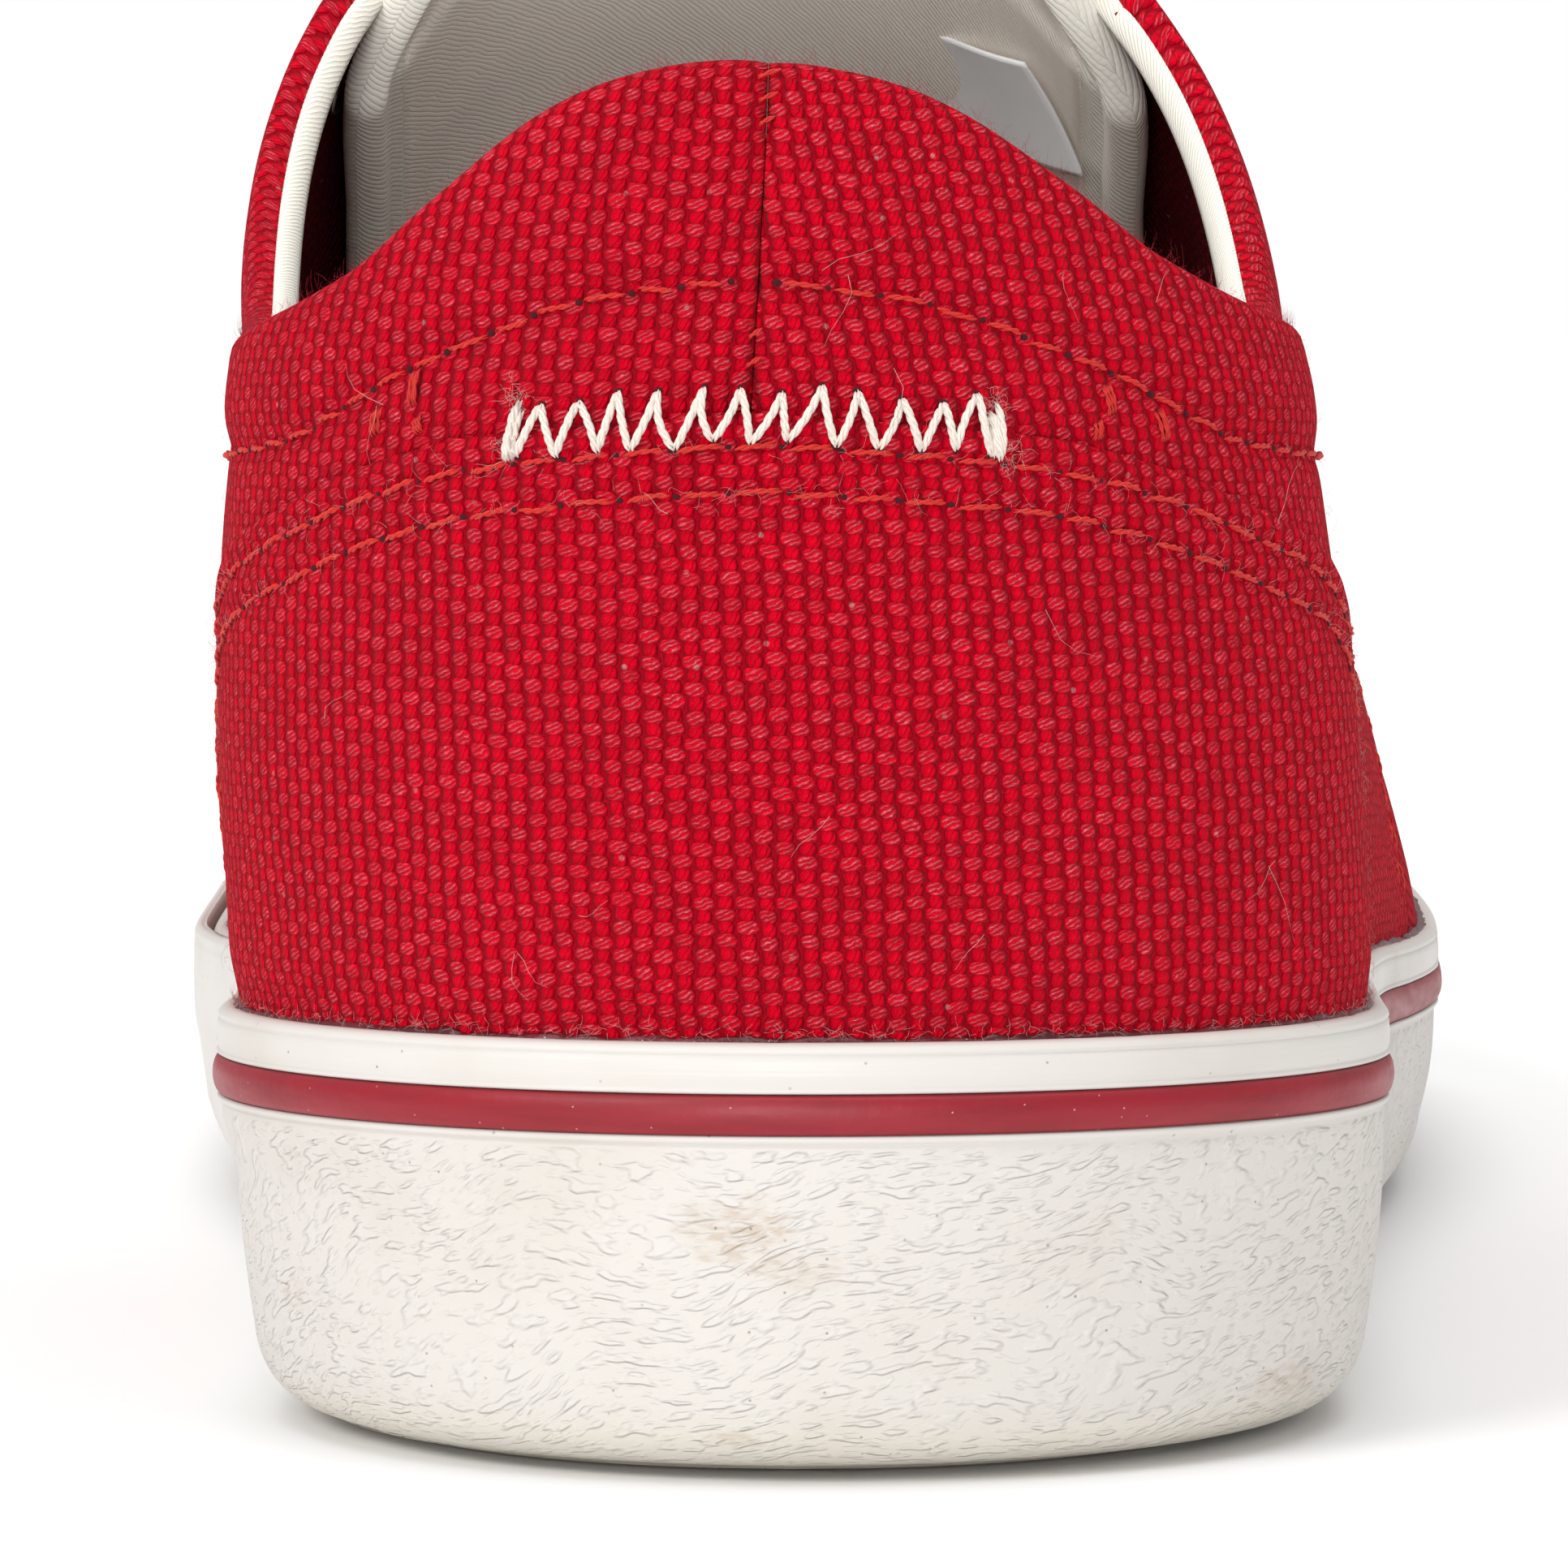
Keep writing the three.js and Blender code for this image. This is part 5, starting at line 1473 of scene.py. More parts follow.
@dataclass
class Sole(Part):
    """Sidewall with its stripe, toe bumper, tread, footbed and the glue line."""

    steps: int = 480
    # out from the joint line, drop below it
    band: tuple[tuple[float, float], ...] = (
        (0.16, 0.5), (0.18, 0.1), (0.45, -0.1), (0.9, -0.08), (1.22, 0.06), (1.42, 0.28), (1.47, 0.5),
        (1.38, 0.58), (1.37, 0.66), (1.46, 0.76), (1.5, 1.2), (1.53, 1.8), (1.5, 2.3), (1.42, 2.5),
        (1.43, 2.58), (1.56, 2.68), (1.54, 2.82), (1.4, 2.9), (0.9, 2.95), (0.85, 4.1), (0.9, 5.4),
        (1.3, 5.42), (1.5, 5.5), (1.54, 5.66), (1.44, 5.84), (1.22, 5.92), (1.12, 6.02), (1.2, 6.3),
        (1.2, 6.8),
    )
    # out from the joint line, height over the wall's lower edge
    foot: tuple[tuple[float, float], ...] = (
        (-0.02, 4.2), (-0.25, 3.4), (-0.55, 2.7), (-0.95, 2.05), (-1.45, 1.48), (-2.0, 1.02), (-2.65, 0.62),
        (-3.4, 0.32), (-4.2, 0.11), (-5.1, 0.0), (-7.0, 0.0), (-7.0, 8.4), (-3.75, 8.4), (-3.0, 8.6),
        (-2.0, 9.6),
    )
    bumper_lateral: float = 226.0
    bumper_medial: float = 104.0
    # the bumper's face and back, out from the joint line, and the drop below it
    bumper_top: tuple[tuple[float, ...], ...] = (
        (2.15, 2.02, -0.2), (2.4, 2.02, -0.36), (2.64, 2.02, -0.32), (2.83, 2.02, -0.12), (2.95, 2.02, 0.2),
        (2.98, 2.02, 0.5), (2.9, 2.02, 0.66), (2.97, 2.02, 0.84), (3.0, 2.02, 1.4), (3.02, 2.02, 3.4),
        (3.0, 2.02, 5.4), (2.96, 2.02, 6.4), (2.84, 1.5, 7.4), (2.62, 1.3, 8.4),
    )
    # the same, by height over the wall's lower edge
    bumper_foot: tuple[tuple[float, ...], ...] = (
        (2.0, 0.8, 6.6), (1.7, 0.55, 5.6), (1.4, 0.3, 4.8), (1.1, 0.1, 4.2), (0.75, 0.0, 3.75),
        (0.3, -0.1, 3.5),
    )
    # the glue line, out from the joint line and the drop below it
    glue_rows: tuple[tuple[float, float], ...] = (
        (-0.3, 0.5), (0.5, 0.4), (0.52, -0.02), (0.36, -0.25), (0.14, -0.34), (-0.3, -0.36),
    )
    groove_pitch: float = 11.0
    groove_first: float = 18.0
    rib_pitch: float = 3.6667

    def ring_angles(self) -> Array:
        """Angles of the ring's sections, from the toe round to the toe."""
        return np.linspace(-math.pi, math.pi, self.steps + 1)

    def section(self, angle: Array, rows: Sequence[tuple[float, float]]) -> Array:
        """Points of each section for rows of outward distance and drop."""
        top = self.last.top(self.last.joint(angle)[1])
        lines = []
        for out, drop in rows:
            x, s = self.last.joint(angle, out)
            lines.append(np.stack([x, s, top - drop], -1))
        return np.stack(lines, 1)

    def medial_set(self, angle: Array) -> Array:
        """How far the wall is set in under its band, on the medial side of the heel."""
        x, s = self.last.joint(angle)
        return 1.0 * (1 - np.clip((s - 20) / 110, 0, 1)) * np.clip(-x / 30, 0, 1)

    def wall_rows(self, angle: Array) -> tuple[Array, Array]:
        """Grid of the textured wall and the foot, with the drop of each point."""
        last = self.last
        top = last.top(last.joint(angle)[1])
        lines, drops = [], []
        inset = self.medial_set(angle)
        for t in np.linspace(0, 1, 22)[1:]:
            out = 1.2 - 1.1 * t + 0.28 * math.sin(math.pi * t) - inset * min(1.0, t * 4)
            x, s = last.joint(angle, out)
            z = (top - 6.8) * (1 - t) + (last.edge_height(s) + 5.0) * t
            lines.append(np.stack([x, s, z], -1))
            drops.append(top - z)
        for out, over in self.foot:
            x, s = last.joint(angle, out - inset * (over < 5) * (out > -5))
            z = last.edge_height(s) + over
            lines.append(np.stack([x, s, z], -1))
            drops.append(drops[-1] + 0.85)
        return np.stack(lines, 1), np.stack(drops, 1)

    def sidewall(self) -> Object:
        """Makes the white wall."""
        angle = self.ring_angles()
        upper = self.section(angle, self.band)
        lower, drops = self.wall_rows(angle)
        points = np.concatenate([upper, lower], axis=1)
        u = self.last.around(angle) * 1.03
        band = np.broadcast_to([abs(d) for _, d in self.band], (len(angle), len(self.band)))
        v = np.concatenate([band, drops], axis=1)
        made = Shape()
        made.grid(points, np.stack([np.repeat(u[:, None], v.shape[1], 1), v], -1), wrap=(False, True))
        piece = self.piece(made, "sidewall_rubber", Look.WALL, "white_rubber", 0.001)
        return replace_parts(piece, "sidewall")

    def stripe(self) -> Object:
        """Makes the round-backed red stripe in the wall's groove."""
        angle = self.ring_angles()
        turn = np.linspace(0, math.pi, 11)
        back = [(1.30 + 0.52 * math.sin(a), 4.175 - 1.2 * math.cos(a)) for a in turn]
        rows = [(0.9, 2.97), *back, (0.9, 5.38)]
        points = self.section(angle, rows)
        u = np.repeat(self.last.around(angle)[:, None], len(rows), 1)
        v = np.broadcast_to([r[1] for r in rows], u.shape)
        made = Shape()
        made.grid(points, np.stack([u, v], -1), wrap=(False, True))
        piece = self.piece(made, "stripe_rubber", Look.STRIPE, "red_rubber", 0.001)
        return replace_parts(piece, "sidewall_stripe")

    def bumper(self) -> Object:
        """Makes the smooth rubber round the toe, over the whole height of the wall."""
        last = self.last
        start = float(last.angle_at(np.array(self.bumper_lateral), 1))
        stop = 2 * math.pi - float(last.angle_at(np.array(self.bumper_medial), 1))
        angle = clustered(start, stop, (0.003, 0.008, 0.016, 0.03), 250)
        top = last.top(last.joint(angle)[1])
        place = np.arange(len(angle))
        ends = rounded(np.minimum(place, place[::-1]) / 4.0, 1.0)
        face, back = [], []
        for rows, hangs in ((self.bumper_top, True), (self.bumper_foot, False)):
            for out, inner, by in rows:
                swell = inner + (out - inner) * (0.15 + 0.85 * ends)
                for line, reach in ((face, swell), (back, inner + 0 * ends)):
                    x, s = last.joint(angle, reach)
                    line.append(np.stack([x, s, top - by if hangs else last.edge_height(s) + by], -1))
        face, back = np.stack(face, 1), np.stack(back, 1)
        u = np.repeat((angle * 50)[:, None], face.shape[1], 1)
        made = Shape()
        made.shell(face, back, np.stack([u, run_along(face, 1)], -1))
        piece = self.piece(made, "bumper_rubber", Look.BUMPER, "white_rubber", 0.005)
        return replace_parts(piece, "toe_bumper")

    def plate(self, out: float, joins: tuple[float, float], counts: tuple[int, int, int],
              across: Array) -> Array:
        """Plan of a plate inside the wall, ruled from the medial rim to the lateral rim.

        Args:
            out: How far its rim is outside the joint line.
            joins: Stations between the rounded heel, the middle and the rounded toe.
            counts: Numbers of stations in the three.
            across: Places from -1 on the medial rim to 1 on the lateral.

        Returns:
            x and station of each point.
        """
        ends = (0.0, *joins, self.last.LENGTH)
        spans = [np.linspace(*ends[k : k + 2], counts[k]) for k in range(3)]
        s = np.concatenate([spans[0][:-1], spans[1], spans[2][1:]])
        rim = [np.stack(self.last.joint(self.last.angle_at(s, sign), out), -1) for sign in (-1, 1)]
        t = (across[None, :, None] + 1) / 2
        return rim[0][:, None] * (1 - t) + rim[1][:, None] * t

    def tread(self) -> Object:
        """Makes the outsole with its cross grooves and the fine ribs on each lug."""
        last = self.last
        plan = self.plate(-7.3, (12, 262), (26, 380, 24), np.linspace(-1, 1, 71))
        x, s = plan[..., 0], plan[..., 1]
        low = last.floor_height(s)
        rim = np.minimum(x - x[:, :1], x[:, -1:] - x)
        inside = smooth((rim - 5.2) / 1.0)
        arch = (s > 97) & (s < 146)
        half = self.groove_pitch / 2
        place = (s - self.groove_first + half) % self.groove_pitch - half
        groove = smooth((1.75 - np.abs(place)) / 0.6) * inside * ~arch * (s > 14) * (s < 250)
        zig = 1.6 * np.abs(((x + 200) % 8) / 4 - 1)
        rib = (s + zig) % self.rib_pitch - self.rib_pitch / 2
        fine = smooth((0.5 - np.abs(rib)) / 0.25) * smooth((rim - 2.6) / 0.6) * (s > 8) * (s < 266)
        depth = np.maximum(1.8 * groove, 0.45 * fine)
        bottom = np.stack([x, s, low + depth], -1)
        upper = np.stack([x, s, last.sole_top(s)], -1)
        made = Shape()
        made.shell(bottom[:, ::-1], upper[:, ::-1], plan[:, ::-1])
        piece = self.piece(made, "tread_rubber", Look.TREAD, "white_rubber", 0.003)
        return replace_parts(piece, "outsole")

    def footbed(self) -> Object:
        """Makes the footbed, dished at the heel and raised at the arch."""
        last = self.last
        across = np.linspace(-1, 1, 41)
        plan = self.plate(-6.8, (10, 264), (20, 110, 22), across)
        s = plan[..., 1]
        base = last.sole_top(s) + 0.3
        edge = rounded(np.minimum(1 - np.abs(across), 1.0)[None, :] * 30 + 0 * s, 2.4)
        ends = rounded(np.minimum(s - s.min(), s.max() - s), 2.4)
        dish = -0.7 * bell(s - 34, 26) * (1 - across[None, :] ** 2)
        dish = dish + 0.9 * bell(s - 118, 30) * smooth(-across - 0.3)
        top = base + 1.3 + (1.9 + dish) * edge * ends
        made = Shape()
        made.shell(*(np.concatenate([plan, z[..., None]], -1) for z in (top, base)), plan)
        piece = self.piece(made, "footbed", Look.FOOTBED, "footbed", 0.003)
        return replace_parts(piece, "insole")

    def glue(self) -> Object:
        """Makes the thin uneven line of glue where canvas meets rubber."""
        rng = np.random.default_rng(11)
        angle = np.linspace(-math.pi, math.pi, 1401)
        rough = rng.normal(0, 1, (len(angle), 6))
        for _ in range(2):
            rough = (rough + np.roll(rough, 1, 0) + np.roll(rough, -1, 0)) / 2.4
        rough[-1] = rough[0]
        rows = []
        for k, (out, drop) in enumerate(self.glue_rows):
            x, s = self.last.joint(angle, out + 0.05 * rough[:, k])
            top = self.last.top(self.last.joint(angle)[1])
            rows.append(np.stack([x, s, top - drop + 0.11 * rough[:, k]], -1))
        points = np.stack(rows, 1)
        u = np.repeat(self.last.around(angle)[:, None], 6, 1)
        made = Shape()
        made.grid(points, np.stack([u, np.broadcast_to(np.arange(6) * 0.3, u.shape)], -1), wrap=(False, True))
        return self.piece(made, "glue_line", Look.GLUE, "red_rubber", 0.001)


@dataclass
class Tongue(Part):
    """Padded tongue with rolled side edges, its lining and a blank tag."""

    depth: float = 3.2
    thickness: float = 4.5
    thinning: float = 1.9
    rise: float = 11.0
    lean: float = 11.0
    narrowing: float = 0.26
    flattening: float = 0.4
    hem: float = 3.3
    tag_corner: tuple[float, float] = (15.5, 87.0)
    tag_lean_deg: float = 36.0
    edge_rows: tuple[tuple[float, float], ...] = ((112, 84), (130, 76), (150, 65), (172, 55), (192, 48))

    def __post_init__(self) -> None:
        """Lays out the middle of the pad, its normals and its distances to the edges."""
        last = self.last
        w = np.sort(np.concatenate([np.linspace(-0.9, 0.9, 61), [a * k for k in (-1, 1) for a in (
            0.92, 0.94, 0.955, 0.968, 0.978, 0.986, 0.992, 0.996, 0.999, 1.0)]]))
        s = np.linspace(192, 112, 60)
        angle = np.where(w[None, :] < 0, last.angle_at(s, -1)[:, None], last.angle_at(s, 1)[:, None])
        height = Curve(self.edge_rows)(s)[:, None]
        low = last.find(angle, lambda p: p[..., 2] >= height)
        v = 1 - np.abs(w)[None, :] * (1 - low)
        outer = last.at(angle, v, -self.depth)
        normal = last.normal(angle, v)
        crown, end = outer[-1, outer.shape[1] // 2], outer[-1]
        free, free_normals = [], []
        for share in np.concatenate([np.linspace(0.06, 0.9, 22), [0.93, 0.955, 0.975, 0.99, 1.0]]):
            corner = max(0.0, (share - 0.62) / 0.38)
            narrow = 1 - self.narrowing * smooth(share * 1.1) ** 0.8 - 0.3 * (1 - math.sqrt(1 - corner**2))
            x = crown[0] + (end[:, 0] - crown[0]) * narrow
            z = crown[2] + (end[:, 2] - crown[2]) * (1 - self.flattening * share) + self.rise * share
            free.append(np.stack([x, end[:, 1] - self.lean * share, z], -1))
            free_normals.append(unit(normal[-1] + np.array([0.0, 0.25, 0.1]) * share))
        self.outer = np.concatenate([outer, np.stack(free)], axis=0)
        self.normals = np.concatenate([normal, np.stack(free_normals)], axis=0)
        across = run_along(self.outer, 1)
        self.side_gap = np.minimum(across, across[:, -1:] - across)
        run = run_along(self.outer, 0)
        self.end_gap = run[-1:] - run
        self.start_gap = run
        self.w = np.broadcast_to(w, self.side_gap.shape)

    def cloth(self, face: Array) -> Array:
        """Cloth coordinates of one face of the pad, from its middle outwards."""
        across = run_along(face, 1)
        return np.stack([across - across[:, [face.shape[1] // 2]], run_along(face, 0)], -1)

    def faces(self) -> tuple[Array, Array]:
        """Outer and inner face of the pad."""
        gap = np.minimum(self.side_gap, self.end_gap)
        full = self.thickness - self.thinning * self.w**2
        half = full / 2 * np.minimum(rounded(self.side_gap, 1.45), rounded(self.end_gap, 1.6))
        bead = 0.22 * bell(gap - 1.5, 0.9)
        groove = 0.42 * bell(gap - self.hem, 0.5)
        wave = 0.25 * np.sin(self.start_gap * 0.16 + 0.8) * bell(self.side_gap - 2, 5.0)
        middle = -full / 2 + wave
        outer = self.outer + self.normals * (middle + half + bead - 0.5 * groove)[..., None]
        inner = self.outer + self.normals * (middle - half - bead + groove)[..., None]
        return outer, inner

    def pad(self) -> Object:
        """Makes the padded tongue."""
        outer, inner = self.faces()
        made = Shape()
        made.shell(outer, inner, self.cloth(outer), self.cloth(inner))
        piece = self.piece(made, "tongue_pad", Look.TONGUE, "cotton", 0.005)
        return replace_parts(piece, "tongue")

    def lining(self) -> Object:
        """Makes the fine grey lining on the foot's side."""
        _, inner = self.faces()
        rows = slice(2, -9)
        made = Shape()
        keep = np.arange(11, inner.shape[1] - 11)
        face, normals = inner[rows][:, keep], self.normals[rows][:, keep]
        inward = smooth((self.side_gap[rows][:, keep] - self.hem) / 1.2)
        crown = 0.14 * inward[..., None]
        made.shell(face - normals * (0.06 + crown), face + normals * 0.25, self.cloth(face))
        return self.piece(made, "tongue_lining", Look.LINING, "cotton", 0.005)

    def tag(self) -> Object:
        """Makes the blank white tag that hangs from the lining."""
        _, inner = self.faces()
        rows = inner[20:-12]
        miss = np.hypot(rows[..., 0] - self.tag_corner[0], rows[..., 2] - self.tag_corner[1])
        row, column = np.unravel_index(int(np.argmin(miss)), miss.shape)
        row += 20
        top = inner[row, column]
        right = unit(inner[row, column + 4] - inner[row, column - 4])
        down = unit(inner[row - 6, column] - inner[row + 6, column])
        down = unit(down - right * float(down @ right))
        lean = math.radians(self.tag_lean_deg)
        right, down = (
            right * math.cos(lean) + down * math.sin(lean),
            down * math.cos(lean) - right * math.sin(lean),
        )
        away = unit(np.cross(right, down))
        if away[1] > 0:
            away = -away
        width, length = 12.0, 16.0
        top = top + right * width / 2
        x = np.linspace(-width / 2, width / 2, 23)
        y = np.linspace(0, length, 27)
        xx, yy = np.meshgrid(x, y, indexing="ij")
        curl = 0.8 + 0.5 * (yy / length) ** 2 + 0.01 * xx**2 + 0.15 * np.sin(yy * 0.5)
        face = top + xx[..., None] * right + yy[..., None] * down + curl[..., None] * away
        made = Shape()
        made.shell(face, face - 0.25 * away, np.stack([xx, yy], -1))
        piece = self.piece(made, "tongue_tag", Look.TAG, "label")
        return piece


@dataclass
class Lacing(Part):
    """Metal eyelets and the flat lace that runs over and under between them."""

    rows: int = 5
    first: float = 117.0
    last_row: float = 167.0
    inset: float = 8.5
    width: float = 6.5
    height: float = 1.15
    bore_width: float = 3.1
    # the eyelet's section, out from its middle and over the canvas
    profile: tuple[tuple[float, float], ...] = (
        (1.85, -2.1), (1.82, -0.5), (1.84, 0.25), (1.95, 0.62), (2.2, 0.86), (2.6, 0.97), (3.1, 0.93),
        (3.55, 0.76), (3.88, 0.48), (3.98, 0.24), (3.9, 0.1), (3.5, 0.12), (2.35, 0.1), (2.3, -0.5),
        (2.3, -2.1),
    )

    def seat(self, side: Side, row: int) -> tuple[float, float]:
        """x from the ridge and station of an eyelet."""
        s = self.first + (self.last_row - self.first) * row / (self.rows - 1)
        return side.value * (float(self.last.throat(np.array(s))) + self.inset), s

    def over(self, x: Array, s: Array) -> tuple[Array, Array]:
        """Angle and share of a place given by its x from the ridge and its station."""
        last = self.last
        angle = last.angle_at(s, np.where(x < 0, -1.0, 1.0))
        return angle, last.across(angle, np.abs(x))

    def eyelet(self, side: Side, row: int) -> Object:
        """Makes one rolled eyelet."""
        x, s = self.seat(side, row)
        angle, v = self.over(np.array([x]), np.array([s]))
        centre, normal = self.last.at(angle, v)[0], self.last.normal(angle, v)[0]
        wide = unit(np.cross(normal, [0.0, 1.0, 0.0]))
        deep = np.cross(normal, wide)
        profile = np.array(self.profile)
        turn = np.arange(36) * 2 * np.pi / 36
        spoke = np.cos(turn)[:, None] * wide + np.sin(turn)[:, None] * deep
        points = centre + spoke[:, None] * profile[None, :, :1] + profile[None, :, 1:] * normal
        cloth = np.stack(np.meshgrid(turn * 3, profile[:, 0] + profile[:, 1], indexing="ij"), -1)
        made = Shape()
        made.grid(points, cloth, wrap=(True, True))
        name = f"{side.name.lower()}_{row + 1}"
        piece = self.piece(made, f"eyelet_ring_{name}", Look.METAL, "eyelet")
        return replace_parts(piece, f"eyelet_{name}")

    def run(self, made: Shape, start: tuple[Side, int], stop: tuple[Side, int], outside: bool,
            on_top: bool) -> float:
        """Adds one run of lace between two eyelets.

        Args:
            made: Shape to add to.
            start: Side and row of the eyelet it leaves.
            stop: Side and row of the eyelet it reaches.
            outside: Whether it lies on the outside of the upper.
            on_top: Whether it passes over the run that it crosses.

        Returns:
            Its length in millimetres.
        """
        (x0, s0), (x1, s1) = self.seat(*start), self.seat(*stop)
        t = np.linspace(0, 1, 90)
        angle, v = self.over(x0 + (x1 - x0) * t, s0 + (s1 - s0) * t)
        reach = math.hypot(x1 - x0, s1 - s0)
        away = np.minimum(t, 1 - t) * reach
        settle = smooth((away - 0.8) / 4.2)
        cross = 1.15 * bell((t - 0.5) * reach, 4.6) if on_top else 0.12 * bell((t - 0.5) * reach, 3.0)
        level = 1.0 if outside else -2.55
        slack = 0.35 * np.sin(t * math.pi * 3 + x0) * smooth(away / 8)
        lift = -1.3 + (level + 1.3) * settle + cross * (1.0 if outside else 0.75)
        if outside:
            lift = lift + slack + 0.9 * bell(away - 3.4, 1.5)
        path = self.last.at(angle, v, lift)
        normal = self.last.normal(angle, v)
        open_out = smooth((away - 1.2) / 5.0)
        width = self.bore_width + (self.width - self.bore_width) * open_out
        high = 1.7 + ((self.height if outside else 0.9) - 1.7) * open_out
        tilt = 0.10 * np.sin(t * math.pi * 2 + s0)[:, None] * open_out[:, None]
        along = unit(np.gradient(path, axis=0))
        wide = unit(np.cross(along, normal))
        normal = unit(normal + wide * tilt)
        wide = unit(np.cross(along, normal))
        turn = np.arange(16) * 2 * np.pi / 16
        cos, sin = np.cos(turn), np.sin(turn)
        flat_x = np.sign(cos) * np.abs(cos) ** 0.55
        flat_z = np.sign(sin) * np.abs(sin) ** 0.7
        ring = (
            path[:, None]
            + (width[:, None] / 2 * flat_x)[..., None] * wide[:, None]
            + (high[:, None] / 2 * flat_z)[..., None] * normal[:, None]
        )
        length = run_along(path, 0)
        cloth = np.stack(np.broadcast_arrays(length[:, None], width[:, None] / 2 * flat_x), -1)
        made.grid(ring, cloth, wrap=(False, True))
        return float(length[-1])

    def lace(self) -> Object:
        """Makes the lace: a bar on the lowest pair, then crossings under and over in turn."""
        made = Shape()
        left, right, bottom = Side.MEDIAL, Side.LATERAL, self.rows - 1
        total = self.run(made, (left, bottom), (right, bottom), True, False)
        for row in range(bottom, 0, -1):
            outside = (bottom - row) % 2 == 1
            total += self.run(made, (left, row), (right, row - 1), outside, False)
            total += self.run(made, (right, row), (left, row - 1), outside, True)
        log.info("lace: %.0f mm between its hidden ends", total)
        piece = self.piece(made, "lace", Look.LACE, "lace")
        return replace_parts(piece, "laces")


@dataclass
class Sewing(Part):
    """Every row of stitches, the zigzag on the heel, and small dark discs of painted shade where the needle
    went through.
    """

    heel: HeelPanel
    quarters: tuple[Quarter, ...]
    # length round, height over the floor, length and lean of each bar tack
    tacks: tuple[tuple[float, ...], ...] = (
        (-25.1, 63.0, 1.7, 0.1), (-22.0, 65.1, 2.2, 0.15), (-21.7, 62.9, 1.0, -0.1),
        (21.5, 62.6, 1.1, 0.1), (22.6, 64.4, 1.8, -0.12), (26.6, 62.8, 1.9, -0.2),
    )
    # height and width of each stitch across the centre-back seam
    seam_stitches: tuple[tuple[float, float], ...] = (
        (84.0, 1.6), (82.6, 1.3), (81.2, 1.1), (68.6, 0.8), (66.9, 0.9),
    )
    red: Shape = field(default_factory=Shape)
    trim: Shape = field(default_factory=Shape)
    white: Shape = field(default_factory=Shape)
    # holes: the dark discs of painted shade at the stitch ends.
    holes: Shape = field(default_factory=Shape)
    rng: np.random.Generator = field(default_factory=lambda: np.random.default_rng(23))

    def strokes(self, made: Shape, start: Array, stop: Array, lift: Array, radius: float, turns: float,
                rise: float, dive: float, bow: float = 0.0, count: int = 2) -> None:
        """Adds one stitch for each pair of cloth points.

        Args:
            made: Shape to add to.
            start: Cloth points where the stitches come up.
            stop: Cloth points where they go down.
            lift: Height of the cloth at both ends of each, two columns.
            radius: Half the thread's thickness.
            turns: Turns of its twist.
            rise: Height of its middle over the cloth.
            dive: Depth of its ends in the cloth.
            bow: Sideways bend.
            count: Number of plies.
        """
        t = np.linspace(0, 1, 13)
        flat = start[:, None] + (stop - start)[:, None] * t[None, :, None]
        along = unit(stop - start)
        sideways = np.stack([along[:, 1], -along[:, 0]], -1)
        bend = bow * self.rng.normal(0, 1, len(start))
        flat = flat + sideways[:, None] * (bend[:, None] * np.sin(np.pi * t))[..., None]
        height = lift[:, :1] * (1 - t) + lift[:, 1:] * t - dive + (rise + dive) * np.sin(np.pi * t) ** 0.42
        height = height * (1 + 0 * bend[:, None]) + 0.05 * self.rng.normal(0, 1, len(start))[:, None]
        path = self.map.at(flat[..., 0], flat[..., 1], height)
        made.plies(path, self.map.normal(flat[..., 0], flat[..., 1]), radius, turns, count=count)

    def prick(self, place: Array, lift: Array, size: float) -> None:
        """Adds a small dark disc at each cloth point: painted shade where the needle went through."""
        turn = np.arange(8) * np.pi / 4
        rows = []
        for share, depth in ((0.05, 0.05), (0.6, 0.04), (1.0, -0.12)):
            uneven = 1 + 0.2 * self.rng.normal(0, 1, (len(place), 1))
            u = place[:, :1] + size * share * np.cos(turn) * uneven
            b = place[:, 1:] + size * 0.8 * share * np.sin(turn)
            rows.append(self.map.at(u, b, lift[:, None] + depth + 0 * u))
        grid = np.stack(rows, axis=2)
        for hole in grid:
            self.holes.grid(hole, wrap=(True, False))

    def sew(self, made: Shape, line: Array, lift: Callable[[Array, Array], Array], pitch: float, gap: float,
            radius: float) -> None:
        """Adds a row of stitches along a cloth line."""
        run = run_along(line, 0)
        count = int(run[-1] / pitch)
        places = np.arange(count + 1) * pitch + (run[-1] - count * pitch) / 2
        places = places + 0.12 * self.rng.normal(0, 1, len(places))

        def point(q: Array) -> Array:
            """Cloth points at lengths along the line."""
            return np.stack([np.interp(q, run, line[:, k]) for k in (0, 1)], -1)

        start, stop = point(places[:-1] + gap / 2), point(places[1:] - gap / 2)
        slip = 0.07 * self.rng.normal(0, 1, (count, 2))
        at = np.stack([lift(start[:, 0], start[:, 1]), lift(stop[:, 0], stop[:, 1])], -1)
        lean = np.array([0.0, 0.09])
        self.strokes(made, start + slip - lean, stop - slip + lean, at, radius, 1.8, 0.17, 0.26, 0.07)
        holes = point(places)
        self.prick(holes, lift(holes[:, 0], holes[:, 1]), 0.3)

    def tack(self, u: float, z: float, length: float, lean: float) -> None:
        """Adds a small upright bar tack."""
        b = float(self.map.at_height(np.array([u]), np.array([z]))[0])
        for k, shift in enumerate((-0.2, 0.02, 0.22)):
            low = np.array([[u + shift - lean, b - length / 2 + 0.1 * k]])
            high = np.array([[u + shift + lean, b + length / 2 + 0.1 * k]])
            self.strokes(self.red, low, high, np.full((1, 2), 0.1), 0.13, 1.2, 0.16, 0.2)

